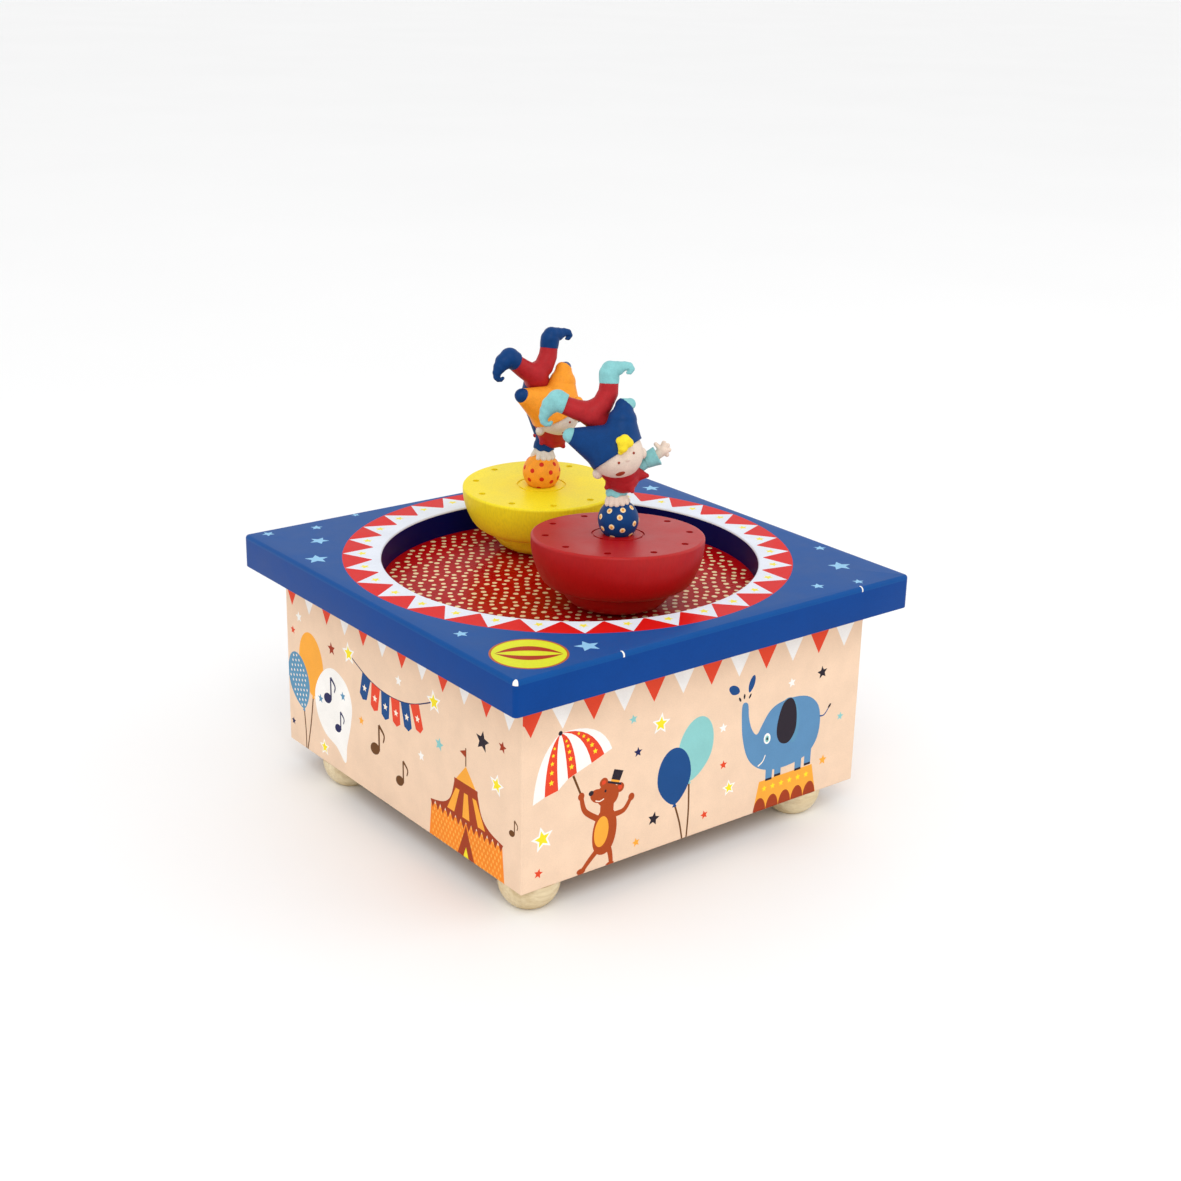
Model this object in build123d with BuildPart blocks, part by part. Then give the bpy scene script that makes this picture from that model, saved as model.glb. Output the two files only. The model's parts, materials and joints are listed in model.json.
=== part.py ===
"""Wooden wind-up music box with a magnetic dance floor. Millimetres, +Z up.

The origin is on the ground under the middle of the box. -Y is the front, -X is the left side.
"""
from build123d import *
import math
import os

os.makedirs("parts", exist_ok=True)

# ---- driving dimensions: the case ----
foot_height = 9.0
body_size = 136.0
body_height = 62.0
wall = 5.0
lid_size = 155.0
lid_thickness = 11.1
lid_corner = 1.5
lid_rim = 1.1           # rounding of the lid's outer edge
well_rim = 0.6          # rounding of the well's edge
well_radius = 61.3
floor_radius = 64.8
floor_thickness = 2.5
board_thickness = 4.0
block_size = 12.0
foot_radius = 9.5
foot_ball_height = 8.0
foot_screw_head = 2.6
foot_counterbore = 4.0
screw_radius = 1.5
bed_screw_head = 2.8
fit = 0.06              # radial clearance of a shaft that turns in its bearing
loose = 0.1             # radial clearance of a screw or a glued peg

body_bottom = foot_height
body_top = body_bottom + body_height
lid_top = body_top + lid_thickness
floor_top = body_top + floor_thickness
inside = body_size / 2 - wall
board_top = body_bottom + board_thickness

# ---- driving dimensions: the movement ----
bed_thickness = 3.0
bed_top = board_top + bed_thickness
barrel_x = -21.6        # the spring barrel, its key and the tune cylinder stand on this line
recess_radius = 18.0
pillar_left = 21.0      # how far the barrel bridge's two pillars stand from the barrel
pillar_front = 22.5
pillar_radius = 2.2
spur_module = 0.6
wheel_teeth = 60
pinion_teeth = 12
wheel_bottom = bed_top + 1.0
wheel_thickness = 1.6
wheel_top = wheel_bottom + wheel_thickness
crown_teeth = 48
crown_radius = 15.5
crown_width = 1.8
crown_height = 1.05
crown_pinion_radius = crown_radius * pinion_teeth / crown_teeth
barrel_radius = 13.2
barrel_wall = 1.0
barrel_top = wheel_top + 15.0
arbor_radius = 1.5
ratchet_bottom = barrel_top + 0.6
bridge_bottom = ratchet_bottom + 2.2
bridge_thickness = 2.0
cylinder_height = wheel_top + 0.6 + crown_pinion_radius
drum_radius = 6.0
pin_height = 0.6
drum_start = 22.0
drum_length = 15.0
comb_teeth = 18
comb_thickness = 0.8
comb_screw_radius = 1.1
comb_screw_spread = 4.5
cylinder_arbor_radius = 1.0
governor_arbor_radius = 0.8
gear_width = 1.2
fine_module = 0.4
cylinder_wheel_teeth = 30
governor_pinion_teeth = 10
governor_x = barrel_x - fine_module * (cylinder_wheel_teeth + governor_pinion_teeth) / 2
worm_wheel_teeth = 20
plate_thickness = 1.8
inner_plate_y = 19.2
outer_plate_y = 47.0
cylinder_wheel_y = 38.2
worm_wheel_y = 43.0
worm_radius = 1.3
worm_length = 8.0
worm_room = 0.35        # between the worm wheel's tips and the worm's plain cylinder
worm_pivot = 0.6
fan_bottom = 29.0
fan_height = 5.0
fan_width = 11.0
fan_top = 36.0

# ---- driving dimensions: the rotor and the two dancers ----
arm_bottom = 60.0
arm_thickness = 3.0
arm_angle = 75.8
arm_length = 76.0
arm_width = 17.0
arm_centre = (3.7, 2.6)
hub_size = 6.0          # height and radius of the hub under the arm
magnet_radius = 6.0
drive_magnet_height = 4.5
drive_magnet_bottom = arm_bottom + arm_thickness + 2.0
dome_magnet_height = 3.0
magnet_pin_radius = 1.5
magnet_boss_radius = 3.0
dome_side = [(0.4, 0.64), (2.3, 0.262), (3.7, 0.106)]  # each how far inside the rim, share of the way up
belly_inset = 6.6       # where the rounded side meets the flat underside
foot_inset = 9.6
foot_flat = 8.6
dome_crown = 0.45       # how far the middle of the foot stands below its edge
dome_rim = 0.8
ring_radii = (7.7, 8.4)
ring_depth = 0.4
rim_holes = 10
rim_hole_radius = 1.15
rim_hole_depth = 1.4
rim_hole_circle = 0.84  # of the dome's radius
peg_radius = 1.25
peg_depth = 7.0
peg_length = 10.0
ball_radius = 6.4
ball_rise = 4.65
figure_scale = 1.015    # of the limbs listed below
dancer_gap = 0.3

# each dancer: name, place on the rotor, the dome's radius, height and underside, its lean in degrees,
# the way the figure looks and how far it was glued on leaning back and aside, and the first rim hole
lean_heading = 51.75
dancers = [
    ("red", (-3.05, -28.2), (27.25, 23.2, 7.2), 2.7, (232.2, 2.6, 6.1), -28.5),
    ("yellow", (12.5, 33.0), (26.8, 22.0, 7.9), -1.9, (266.6, -1.4, -4.3), -8.0),
]


def finish_piece(part, name):
    """Labels a finished piece and writes its file."""
    part.label = name
    export_step(part, f"parts/{name}.step")


def gear_outline(teeth, module, phase=0.0, thickness=0.40, tip=0.8, root=1.15):
    """Points of a spur gear with straight-sided teeth and plenty of backlash."""
    pitch_radius = module * teeth / 2
    pitch = 360 / teeth
    corners = [
        (pitch_radius - root * module, -(thickness + 0.16) / 2),
        (pitch_radius + tip * module, -(thickness - 0.18) / 2),
        (pitch_radius + tip * module, (thickness - 0.18) / 2),
        (pitch_radius - root * module, (thickness + 0.16) / 2),
    ]
    points = []
    for tooth in range(teeth):
        for radius, share in corners:
            angle = math.radians(phase + pitch * (tooth + share))
            points.append((radius * math.cos(angle), radius * math.sin(angle)))
    return points


# ---- the case ----
def side_panel(turn):
    """One wall with mitred ends; turn says which side of the box it stands on."""
    outer = body_size / 2
    with BuildPart() as panel:
        with BuildSketch(Plane.XY.offset(body_bottom).rotated((0, 0, turn))):
            with BuildLine():
                Polyline(
                    (-outer, -outer), (outer, -outer), (inside, -inside), (-inside, -inside), close=True
                )
            make_face()
        extrude(amount=body_height)
    return panel.part


for name, turn in (("front_panel", 0), ("right_panel", 90), ("back_panel", 180), ("left_panel", 270)):
    finish_piece(side_panel(turn), name)

with BuildPart() as lid:
    with BuildSketch(Plane.XY.offset(body_top)):
        RectangleRounded(lid_size, lid_size, lid_corner)
        Circle(well_radius, mode=Mode.SUBTRACT)
    extrude(amount=lid_thickness)
    with BuildSketch(Plane.XY.offset(body_top)):
        Circle(floor_radius + loose)
    extrude(amount=floor_thickness, mode=Mode.SUBTRACT)
    rims = lid.edges().group_by(Axis.Z)[-1]
    fillet(rims.filter_by(GeomType.LINE), radius=lid_rim)
    circles = lid.edges().filter_by(GeomType.CIRCLE).group_by(Axis.Z)[-1]
    fillet(circles.sort_by(SortBy.LENGTH)[-1], radius=well_rim)
finish_piece(lid.part, "lid")

with BuildPart() as well_floor:
    with BuildSketch(Plane.XY.offset(body_top)):
        Circle(floor_radius)
    extrude(amount=floor_thickness)
finish_piece(well_floor.part, "well_floor")

# the feet are set by hand, flush with the sides and not quite alike
foot_spots = [
    ("foot_front_left", -58.2, -58.6),
    ("foot_front_right", 49.5, -58.4),
    ("foot_back_left", -58.4, 43.5),
    ("foot_back_right", 52.0, 50.0),
]
foot_points = [(x, y) for name, x, y in foot_spots]
bed_screw_points = [(barrel_x - 22, -24), (3.5, -24), (barrel_x - 22, 30), (3.5, 46)]

with BuildPart() as bottom_board:
    with BuildSketch(Plane.XY.offset(body_bottom)):
        Rectangle(2 * inside - 2 * loose, 2 * inside - 2 * loose)
        with Locations((barrel_x, 0)):
            Circle(recess_radius, mode=Mode.SUBTRACT)
        with Locations(*foot_points, *bed_screw_points):
            Circle(screw_radius + loose, mode=Mode.SUBTRACT)
    extrude(amount=board_thickness)
finish_piece(bottom_board.part, "bottom_board")

block_place = inside - block_size / 2
with BuildPart() as corner_blocks:
    with BuildSketch(Plane.XY.offset(board_top)):
        with Locations((block_place, block_place), (-block_place, block_place),
                       (block_place, -block_place), (-block_place, -block_place)):
            Rectangle(block_size, block_size)
    extrude(amount=body_top - board_top - 1)
finish_piece(corner_blocks.part, "corner_blocks")


def ball_foot(x, y):
    """Half a turned ball, flat where it stands and where it meets the box, bored for its screw."""
    low = math.sqrt(foot_radius ** 2 - foot_ball_height ** 2)
    high = math.sqrt(foot_radius ** 2 - (foot_height - foot_ball_height) ** 2)
    with BuildPart() as foot:
        with BuildSketch(Plane(origin=(x, y, 0), x_dir=(1, 0, 0), z_dir=(0, -1, 0))):
            with BuildLine():
                Line((0, 0), (low, 0))
                ThreePointArc((low, 0), (foot_radius, foot_ball_height), (high, foot_height))
                Line((high, foot_height), (0, foot_height))
                Line((0, foot_height), (0, 0))
            make_face()
        revolve(axis=Axis((x, y, 0), (0, 0, 1)))
        with BuildSketch(Plane.XY):
            with Locations((x, y)):
                Circle(foot_screw_head + loose)
        extrude(amount=foot_counterbore, mode=Mode.SUBTRACT)
        with BuildSketch(Plane.XY):
            with Locations((x, y)):
                Circle(screw_radius + loose)
        extrude(amount=foot_height, mode=Mode.SUBTRACT)
    return foot.part


for name, x, y in foot_spots:
    finish_piece(ball_foot(x, y), name)


def screw_group(points, head_bottom, head_height, head_radius, tip, slot=0.8, slot_width=0.7):
    """Cheese-head screws; the shank runs from the head to the height given by tip."""
    head_side = head_bottom if tip > head_bottom else head_bottom + head_height
    slot_floor = head_bottom if tip > head_bottom else head_bottom + head_height - slot
    with BuildPart() as screws:
        with BuildSketch(Plane.XY.offset(head_bottom)):
            with Locations(*points):
                Circle(head_radius)
        extrude(amount=head_height)
        with BuildSketch(Plane.XY.offset(min(head_side, tip))):
            with Locations(*points):
                Circle(screw_radius)
        extrude(amount=abs(tip - head_side))
        with BuildSketch(Plane.XY.offset(slot_floor)):
            with Locations(*points):
                Rectangle(2 * head_radius + 1, slot_width)
        extrude(amount=slot, mode=Mode.SUBTRACT)
    return screws.part


finish_piece(screw_group(foot_points, 2.2, 1.7, foot_screw_head, board_top - 0.3), "foot_screws")
finish_piece(
    screw_group(bed_screw_points, bed_top, 1.6, bed_screw_head, body_bottom + 0.5), "movement_screws"
)

# ---- the wooden bridge that steadies the rotor shaft ----
rotor_bridge_bottom = 46.0
rotor_bridge_thickness = 5.0
rotor_bridge_width = 24.0
bush_radius = 4.0
bush_stand = 0.5        # how far the bush stands out of the bridge on each side
with BuildPart() as rotor_bridge:
    with BuildSketch(Plane.XY.offset(rotor_bridge_bottom)):
        Rectangle(2 * inside, rotor_bridge_width)
        Circle(bush_radius + loose, mode=Mode.SUBTRACT)
    extrude(amount=rotor_bridge_thickness)
    fillet(rotor_bridge.edges().filter_by(Axis.X), radius=1)
finish_piece(rotor_bridge.part, "rotor_bridge")

with BuildPart() as bridge_bush:
    with BuildSketch(Plane.XY.offset(rotor_bridge_bottom - bush_stand)):
        Circle(bush_radius)
        Circle(arbor_radius + fit, mode=Mode.SUBTRACT)
    extrude(amount=rotor_bridge_thickness + 2 * bush_stand)
finish_piece(bridge_bush.part, "bridge_bush")

# ---- the movement's fixed plates ----
pillar_spots = [(barrel_x - pillar_left, 0), (barrel_x, -pillar_front)]
comb_y = drum_start + drum_length / 2
comb_bed_x = 0.5
comb_bed_width = 9.0
comb_bottom = cylinder_height - comb_thickness / 2
worm_x = governor_x - fine_module * worm_wheel_teeth / 2 - 2 * worm_room - worm_radius
worm_y = worm_wheel_y + 0.7
bed_length = 82.0
bed_width = 56.0
bed_centre = (barrel_x + 1.6, 11.0)
bed_corner = 5.0
bearing_depth = 2.0
with BuildPart() as bedplate:
    with BuildSketch(Plane.XY.offset(board_top)):
        with Locations(bed_centre):
            RectangleRounded(bed_width, bed_length, bed_corner)
        with Locations((barrel_x, 0)):
            Circle(arbor_radius + fit, mode=Mode.SUBTRACT)
        with Locations(*bed_screw_points):
            Circle(screw_radius + loose, mode=Mode.SUBTRACT)
    extrude(amount=bed_thickness)
    with BuildSketch(Plane.XY.offset(bed_top)):
        with Locations((comb_bed_x, comb_y)):
            Rectangle(comb_bed_width, drum_length)
    extrude(amount=comb_bottom - bed_top)
    with BuildSketch(Plane.XY.offset(bed_top - bearing_depth)):
        Circle(arbor_radius + fit)
        with Locations((worm_x, worm_y)):
            Circle(worm_pivot + fit)
    extrude(amount=bearing_depth, mode=Mode.SUBTRACT)
finish_piece(bedplate.part, "bedplate")

bridge_edge = 5.0       # from the bridge's screws and bearing to its outline
with BuildPart() as barrel_bridge:
    left_end = barrel_x - pillar_left - bridge_edge
    front_end = -pillar_front - bridge_edge
    with BuildSketch(Plane.XY.offset(bridge_bottom)):
        with BuildLine():
            Polyline(
                (left_end, -bridge_edge), (left_end, bridge_edge),
                (barrel_x + bridge_edge, bridge_edge), (barrel_x + bridge_edge, front_end),
                (barrel_x - bridge_edge, front_end), (barrel_x - bridge_edge, -bridge_edge), close=True,
            )
        make_face()
        with Locations((barrel_x, 0)):
            Circle(arbor_radius + fit, mode=Mode.SUBTRACT)
    extrude(amount=bridge_thickness)
    with BuildSketch(Plane.XY.offset(bed_top)):
        with Locations(*pillar_spots):
            Circle(pillar_radius)
    extrude(amount=bridge_bottom - bed_top)
    fillet(barrel_bridge.edges().filter_by(Axis.Z).filter_by(GeomType.LINE), radius=1.5)
finish_piece(barrel_bridge.part, "barrel_bridge")

plate_width = 16.0
plate_top = cylinder_height + 4.5


def bearing_plate(y):
    """A standing plate that carries the cylinder arbor and the governor arbor."""
    middle = (barrel_x + governor_x) / 2
    face = Plane(origin=(0, y, 0), x_dir=(-1, 0, 0), z_dir=(0, 1, 0))
    with BuildPart() as plate:
        with BuildSketch(face):
            with Locations((-middle, (bed_top + plate_top) / 2)):
                Rectangle(plate_width, plate_top - bed_top)
            with Locations((-barrel_x, cylinder_height)):
                Circle(cylinder_arbor_radius + fit, mode=Mode.SUBTRACT)
            with Locations((-governor_x, cylinder_height)):
                Circle(governor_arbor_radius + fit, mode=Mode.SUBTRACT)
        extrude(amount=plate_thickness)
    return plate.part


finish_piece(bearing_plate(inner_plate_y), "inner_bearing_plate")
finish_piece(bearing_plate(outer_plate_y), "outer_bearing_plate")

strap = 2.0             # thickness of the governor's bent frame
strap_width = 8.0
strap_room = fan_width / 2 + 1.7
strap_over = 2.8        # how far the frame reaches past the worm
with BuildPart() as governor_frame:
    with BuildSketch(Plane.XY.offset(bed_top)):
        with Locations((worm_x - strap_room - strap / 2, worm_y)):
            Rectangle(strap, strap_width)
    extrude(amount=fan_top + strap - bed_top)
    with BuildSketch(Plane.XY.offset(fan_top)):
        with Locations((worm_x + (strap_over - strap_room - strap) / 2, worm_y)):
            Rectangle(strap_over + strap_room + strap, strap_width)
        with Locations((worm_x, worm_y)):
            Circle(worm_pivot + fit, mode=Mode.SUBTRACT)
    extrude(amount=strap)
finish_piece(governor_frame.part, "governor_frame")

comb_tip = barrel_x + drum_radius + pin_height + 0.25
comb_pitch = drum_length / comb_teeth
comb_back = comb_bed_x + comb_bed_width / 2
comb_root = comb_bed_x - 6.5
tooth_share = 0.66      # of the pitch; the rest is the saw cut between two teeth
comb_screw_points = [(comb_bed_x, comb_y - comb_screw_spread), (comb_bed_x, comb_y + comb_screw_spread)]
with BuildPart() as comb:
    with BuildSketch(Plane.XY.offset(comb_bottom)):
        with Locations(((comb_root + comb_back) / 2, comb_y)):
            Rectangle(comb_back - comb_root, drum_length)
        with Locations(((comb_tip + comb_root) / 2, comb_y)):
            with GridLocations(1, comb_pitch, 1, comb_teeth):
                Rectangle(comb_root - comb_tip + 0.2, comb_pitch * tooth_share)
        with Locations(*comb_screw_points):
            Circle(comb_screw_radius + loose, mode=Mode.SUBTRACT)
    extrude(amount=comb_thickness)
finish_piece(comb.part, "comb")

with BuildPart() as comb_screws:
    with BuildSketch(Plane.XY.offset(comb_bottom + comb_thickness)):
        with Locations(*comb_screw_points):
            Circle(2 * comb_screw_radius)
    extrude(amount=1.2)
    with BuildSketch(Plane.XY.offset(comb_bottom)):
        with Locations(*comb_screw_points):
            Circle(comb_screw_radius)
    extrude(amount=comb_thickness)
finish_piece(comb_screws.part, "comb_screws")

# ---- spring barrel with the great wheel ----
with BuildPart() as great_wheel:
    with BuildSketch(Plane((barrel_x, 0, wheel_bottom))):
        with BuildLine():
            Polyline(*gear_outline(wheel_teeth, spur_module, 180 / wheel_teeth), close=True)
        make_face()
        Circle(arbor_radius + fit, mode=Mode.SUBTRACT)
    extrude(amount=wheel_thickness)
    crown_pitch = 2 * math.pi * crown_radius / crown_teeth
    crown_inner = crown_radius - crown_width / 2
    foot, crest = 0.24 * crown_pitch, 0.12 * crown_pitch
    for tooth in range(crown_teeth):
        angle = math.radians((tooth + 0.5) * 360 / crown_teeth)
        across, along = math.cos(angle), math.sin(angle)
        base = (barrel_x + crown_inner * across, crown_inner * along, wheel_top)
        with BuildSketch(Plane(origin=base, x_dir=(-along, across, 0), z_dir=(across, along, 0))):
            with BuildLine():
                Polyline((-foot, 0), (foot, 0), (crest, crown_height), (-crest, crown_height), close=True)
            make_face()
        extrude(amount=crown_width)
finish_piece(great_wheel.part, "great_wheel")

with BuildPart() as spring_barrel:
    with BuildSketch(Plane.XY.offset(wheel_top)):
        with Locations((barrel_x, 0)):
            Circle(barrel_radius)
            Circle(barrel_radius - barrel_wall, mode=Mode.SUBTRACT)
    extrude(amount=barrel_top - wheel_top - 1)
    with BuildSketch(Plane.XY.offset(barrel_top - 1)):
        with Locations((barrel_x, 0)):
            Circle(barrel_radius)
            Circle(arbor_radius + fit, mode=Mode.SUBTRACT)
    extrude(amount=1)
finish_piece(spring_barrel.part, "spring_barrel")

spring_turns = 7
spring_inner = 3.4
spring_pitch = 1.15
with BuildPart() as mainspring:
    with BuildSketch(Plane.XY.offset(wheel_top + 0.6)):
        with BuildLine():
            for half in range(2 * spring_turns):
                begin = spring_inner + spring_pitch * half / 2
                end = begin + spring_pitch / 2
                side = 1 if half % 2 == 0 else -1
                centre = barrel_x + side * (begin - end) / 2
                radius = (begin + end) / 2
                ThreePointArc(
                    (barrel_x + side * begin, 0), (centre, side * radius), (barrel_x - side * end, 0)
                )
        trace(line_width=0.4)
    extrude(amount=barrel_top - wheel_top - 2.4)
finish_piece(mainspring.part, "mainspring")

# ---- winding arbor, ratchet and key ----
key_top = board_top - 0.6
key_bottom = 2.6
key_hub_radius = 3.2
key_hub_height = 5.4
key_grip = 5.0          # how deep the arbor sits in the key
with BuildPart() as winding_arbor:
    with BuildSketch(Plane.XY.offset(key_top - key_grip)):
        with Locations((barrel_x, 0)):
            Circle(arbor_radius)
    extrude(amount=bridge_bottom + bridge_thickness + 0.8 - key_top + key_grip)
finish_piece(winding_arbor.part, "winding_arbor")

ratchet_teeth = 16
ratchet_radius = 5.0
ratchet_depth = 0.2     # of the radius
with BuildPart() as ratchet_wheel:
    with BuildSketch(Plane((barrel_x, 0, ratchet_bottom))):
        with BuildLine():
            saw = []
            for tooth in range(ratchet_teeth):
                for radius, lag in ((ratchet_radius, 0.0), ((1 - ratchet_depth) * ratchet_radius, 0.04)):
                    angle = 2 * math.pi * tooth / ratchet_teeth + lag
                    saw.append((radius * math.cos(angle), radius * math.sin(angle)))
            Polyline(*saw, close=True)
        make_face()
        Circle(arbor_radius, mode=Mode.SUBTRACT)
    extrude(amount=1.2)
finish_piece(ratchet_wheel.part, "ratchet_wheel")

click_x = barrel_x - ratchet_radius - 0.3
with BuildPart() as ratchet_click:
    with BuildSketch(Plane.XY.offset(ratchet_bottom + 0.1)):
        with BuildLine():
            Polyline((click_x, 0.4), (click_x - 9, 3), (click_x - 9, -2), (click_x, -0.4), close=True)
        make_face()
    extrude(amount=bridge_bottom - ratchet_bottom - 0.1)
finish_piece(ratchet_click.part, "ratchet_click")

wing_length = 13.5
wing_thickness = 2.2
wing_swell = 8.0        # where along the wing it is tallest
neck = key_top - key_hub_height
wing_root = 2.2
with BuildPart() as winding_key:
    with BuildSketch(Plane.XY.offset(neck)):
        with Locations((barrel_x, 0)):
            Circle(key_hub_radius)
    extrude(amount=key_hub_height)
    with BuildSketch(Plane(origin=(barrel_x - wing_thickness / 2, 0, 0), x_dir=(0, 1, 0), z_dir=(1, 0, 0))):
        for side in (1, -1):
            with BuildLine():
                Polyline(
                    (side * wing_root, key_bottom + 1.6), (0, key_bottom + 1.6),
                    (0, neck + 0.6), (side * wing_root, neck + 0.6),
                )
                Spline(
                    (side * wing_root, neck + 0.6), (side * wing_swell, neck + 1.6),
                    (side * wing_length, neck - 0.9),
                    (side * wing_swell, key_bottom), (side * wing_root, key_bottom + 1.6),
                )
            make_face()
    extrude(amount=wing_thickness)
    with BuildSketch(Plane.XY.offset(key_top - key_grip)):
        with Locations((barrel_x, 0)):
            Circle(arbor_radius)
    extrude(amount=key_grip, mode=Mode.SUBTRACT)
finish_piece(winding_key.part, "winding_key")

# ---- tune cylinder and governor, on arbors that lie along Y ----
def along_y(x, y):
    """A plane facing +Y on the cylinder's height, with its second axis pointing down."""
    return Plane(origin=(x, y, cylinder_height), x_dir=(1, 0, 0), z_dir=(0, 1, 0))


def arbor(x, radius, start, end):
    """A plain steel arbor along Y."""
    with BuildPart() as rod:
        with BuildSketch(along_y(x, start)):
            Circle(radius)
        extrude(amount=end - start)
    return rod.part


def small_gear(x, y, teeth, module, width, bore, phase=0.0, thickness=0.40):
    """A gear on an arbor along Y."""
    with BuildPart() as gear:
        with BuildSketch(along_y(x, y)):
            with BuildLine():
                Polyline(*gear_outline(teeth, module, phase, thickness), close=True)
            make_face()
            Circle(bore, mode=Mode.SUBTRACT)
        extrude(amount=width)
    return gear.part


crown_module = 2 * crown_pinion_radius / pinion_teeth
pinion_y = crown_radius - crown_width / 2 + 0.1
arbor_end = outer_plate_y + plate_thickness
finish_piece(arbor(barrel_x, cylinder_arbor_radius, pinion_y - 0.3, arbor_end), "cylinder_arbor")
finish_piece(
    small_gear(barrel_x, pinion_y, pinion_teeth, crown_module, 1.6, cylinder_arbor_radius, thickness=0.34),
    "crown_pinion",
)
finish_piece(
    small_gear(barrel_x, cylinder_wheel_y, cylinder_wheel_teeth, fine_module, gear_width,
               cylinder_arbor_radius),
    "cylinder_wheel",
)

pins_per_track = 2
pin_width = 0.4
track_turn = 137.5      # degrees from one track's first pin to the next
note_turn = 163.0
with BuildPart() as tune_cylinder:
    with BuildSketch(along_y(barrel_x, drum_start)):
        Circle(drum_radius)
        Circle(cylinder_arbor_radius, mode=Mode.SUBTRACT)
    extrude(amount=drum_length)
    for track in range(comb_teeth):
        for note in range(pins_per_track):
            turn = math.radians(track * track_turn + note * note_turn)
            spot = along_y(barrel_x, drum_start + comb_pitch * (track + 0.5)).origin
            with BuildSketch(Plane(spot, x_dir=(0, 1, 0), z_dir=(math.cos(turn), 0, math.sin(turn)))):
                Rectangle(pin_width, pin_width)
            extrude(amount=drum_radius + pin_height)
    with BuildSketch(along_y(barrel_x, drum_start)):
        Circle(cylinder_arbor_radius)
    extrude(amount=drum_length, mode=Mode.SUBTRACT)
finish_piece(tune_cylinder.part, "tune_cylinder")

finish_piece(arbor(governor_x, governor_arbor_radius, inner_plate_y, arbor_end), "governor_arbor")
finish_piece(
    small_gear(governor_x, cylinder_wheel_y, governor_pinion_teeth, fine_module, gear_width,
               governor_arbor_radius, 180 / governor_pinion_teeth),
    "governor_pinion",
)
finish_piece(
    small_gear(governor_x, worm_wheel_y, worm_wheel_teeth, fine_module, 1.4, governor_arbor_radius),
    "worm_wheel",
)

with BuildPart() as fan_worm:
    with BuildSketch(Plane.XY.offset(bed_top - 1.6)):
        with Locations((worm_x, worm_y)):
            Circle(worm_pivot)
    extrude(amount=fan_top + 1.8 - bed_top + 1.6)
    with BuildSketch(Plane.XY.offset(cylinder_height - worm_length / 2)):
        with Locations((worm_x, worm_y)):
            Circle(worm_radius)
    extrude(amount=worm_length)
finish_piece(fan_worm.part, "fan_worm")

with BuildPart() as fan_blades:
    with BuildSketch(Plane.XY.offset(fan_bottom)):
        with Locations((worm_x, worm_y)):
            Circle(1.6)
            Rectangle(fan_width, 0.8)
            Circle(worm_pivot, mode=Mode.SUBTRACT)
    extrude(amount=fan_height)
finish_piece(fan_blades.part, "fan_blades")

# ---- the rotor under the dance floor ----
with BuildPart() as rotor_shaft:
    shaft_bottom = bed_top - bearing_depth + 0.2
    with BuildSketch(Plane.XY.offset(shaft_bottom)):
        Circle(arbor_radius)
    extrude(amount=arm_bottom + arm_thickness - shaft_bottom)
finish_piece(rotor_shaft.part, "rotor_shaft")

with BuildPart() as rotor_pinion:
    with BuildSketch(Plane.XY.offset(wheel_bottom - 0.5)):
        with BuildLine():
            Polyline(*gear_outline(pinion_teeth, spur_module), close=True)
        make_face()
        Circle(arbor_radius, mode=Mode.SUBTRACT)
    extrude(amount=2.6)
finish_piece(rotor_pinion.part, "rotor_pinion")

with BuildPart() as rotor_hub:
    with BuildSketch(Plane.XY.offset(arm_bottom - hub_size)):
        Circle(hub_size)
        Circle(arbor_radius, mode=Mode.SUBTRACT)
    extrude(amount=hub_size)
finish_piece(rotor_hub.part, "rotor_hub")

magnet_spots = [dancer[1] for dancer in dancers]
with BuildPart() as rotor_arm:
    with BuildSketch(Plane.XY.offset(arm_bottom)):
        with Locations(Location(arm_centre, arm_angle)):
            SlotOverall(arm_length, arm_width)
        Circle(arbor_radius, mode=Mode.SUBTRACT)
    extrude(amount=arm_thickness)
    arm_top = arm_bottom + arm_thickness
    with BuildSketch(Plane.XY.offset(arm_top)):
        with Locations(*magnet_spots):
            Circle(magnet_pin_radius)
    extrude(amount=drive_magnet_bottom + drive_magnet_height - 0.3 - arm_top)
    with BuildSketch(Plane.XY.offset(arm_top)):
        with Locations(*magnet_spots):
            Circle(magnet_boss_radius)
    extrude(amount=drive_magnet_bottom - 0.2 - arm_top)
finish_piece(rotor_arm.part, "rotor_arm")


# ---- the dancers ----
def drive_magnet(spot):
    """A ring magnet that turns on its pin on the rotor arm."""
    with BuildPart() as magnet:
        with BuildSketch(Plane.XY.offset(drive_magnet_bottom)):
            with Locations(spot):
                Circle(magnet_radius)
                Circle(magnet_pin_radius + fit, mode=Mode.SUBTRACT)
        extrude(amount=drive_magnet_height)
    return magnet.part


def leaning_plane(spot, lean):
    """The plane of a dome's base: it leans away from the front left on its crowned foot."""
    tilt = math.radians(lean)
    way = math.radians(lean_heading)
    axis = (math.sin(tilt) * math.cos(way), math.sin(tilt) * math.sin(way), math.cos(tilt))
    middle = (spot[0], spot[1], floor_top + dancer_gap)
    return Plane(origin=middle, x_dir=(1, 0, -axis[0] / axis[2]), z_dir=axis)


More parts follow.
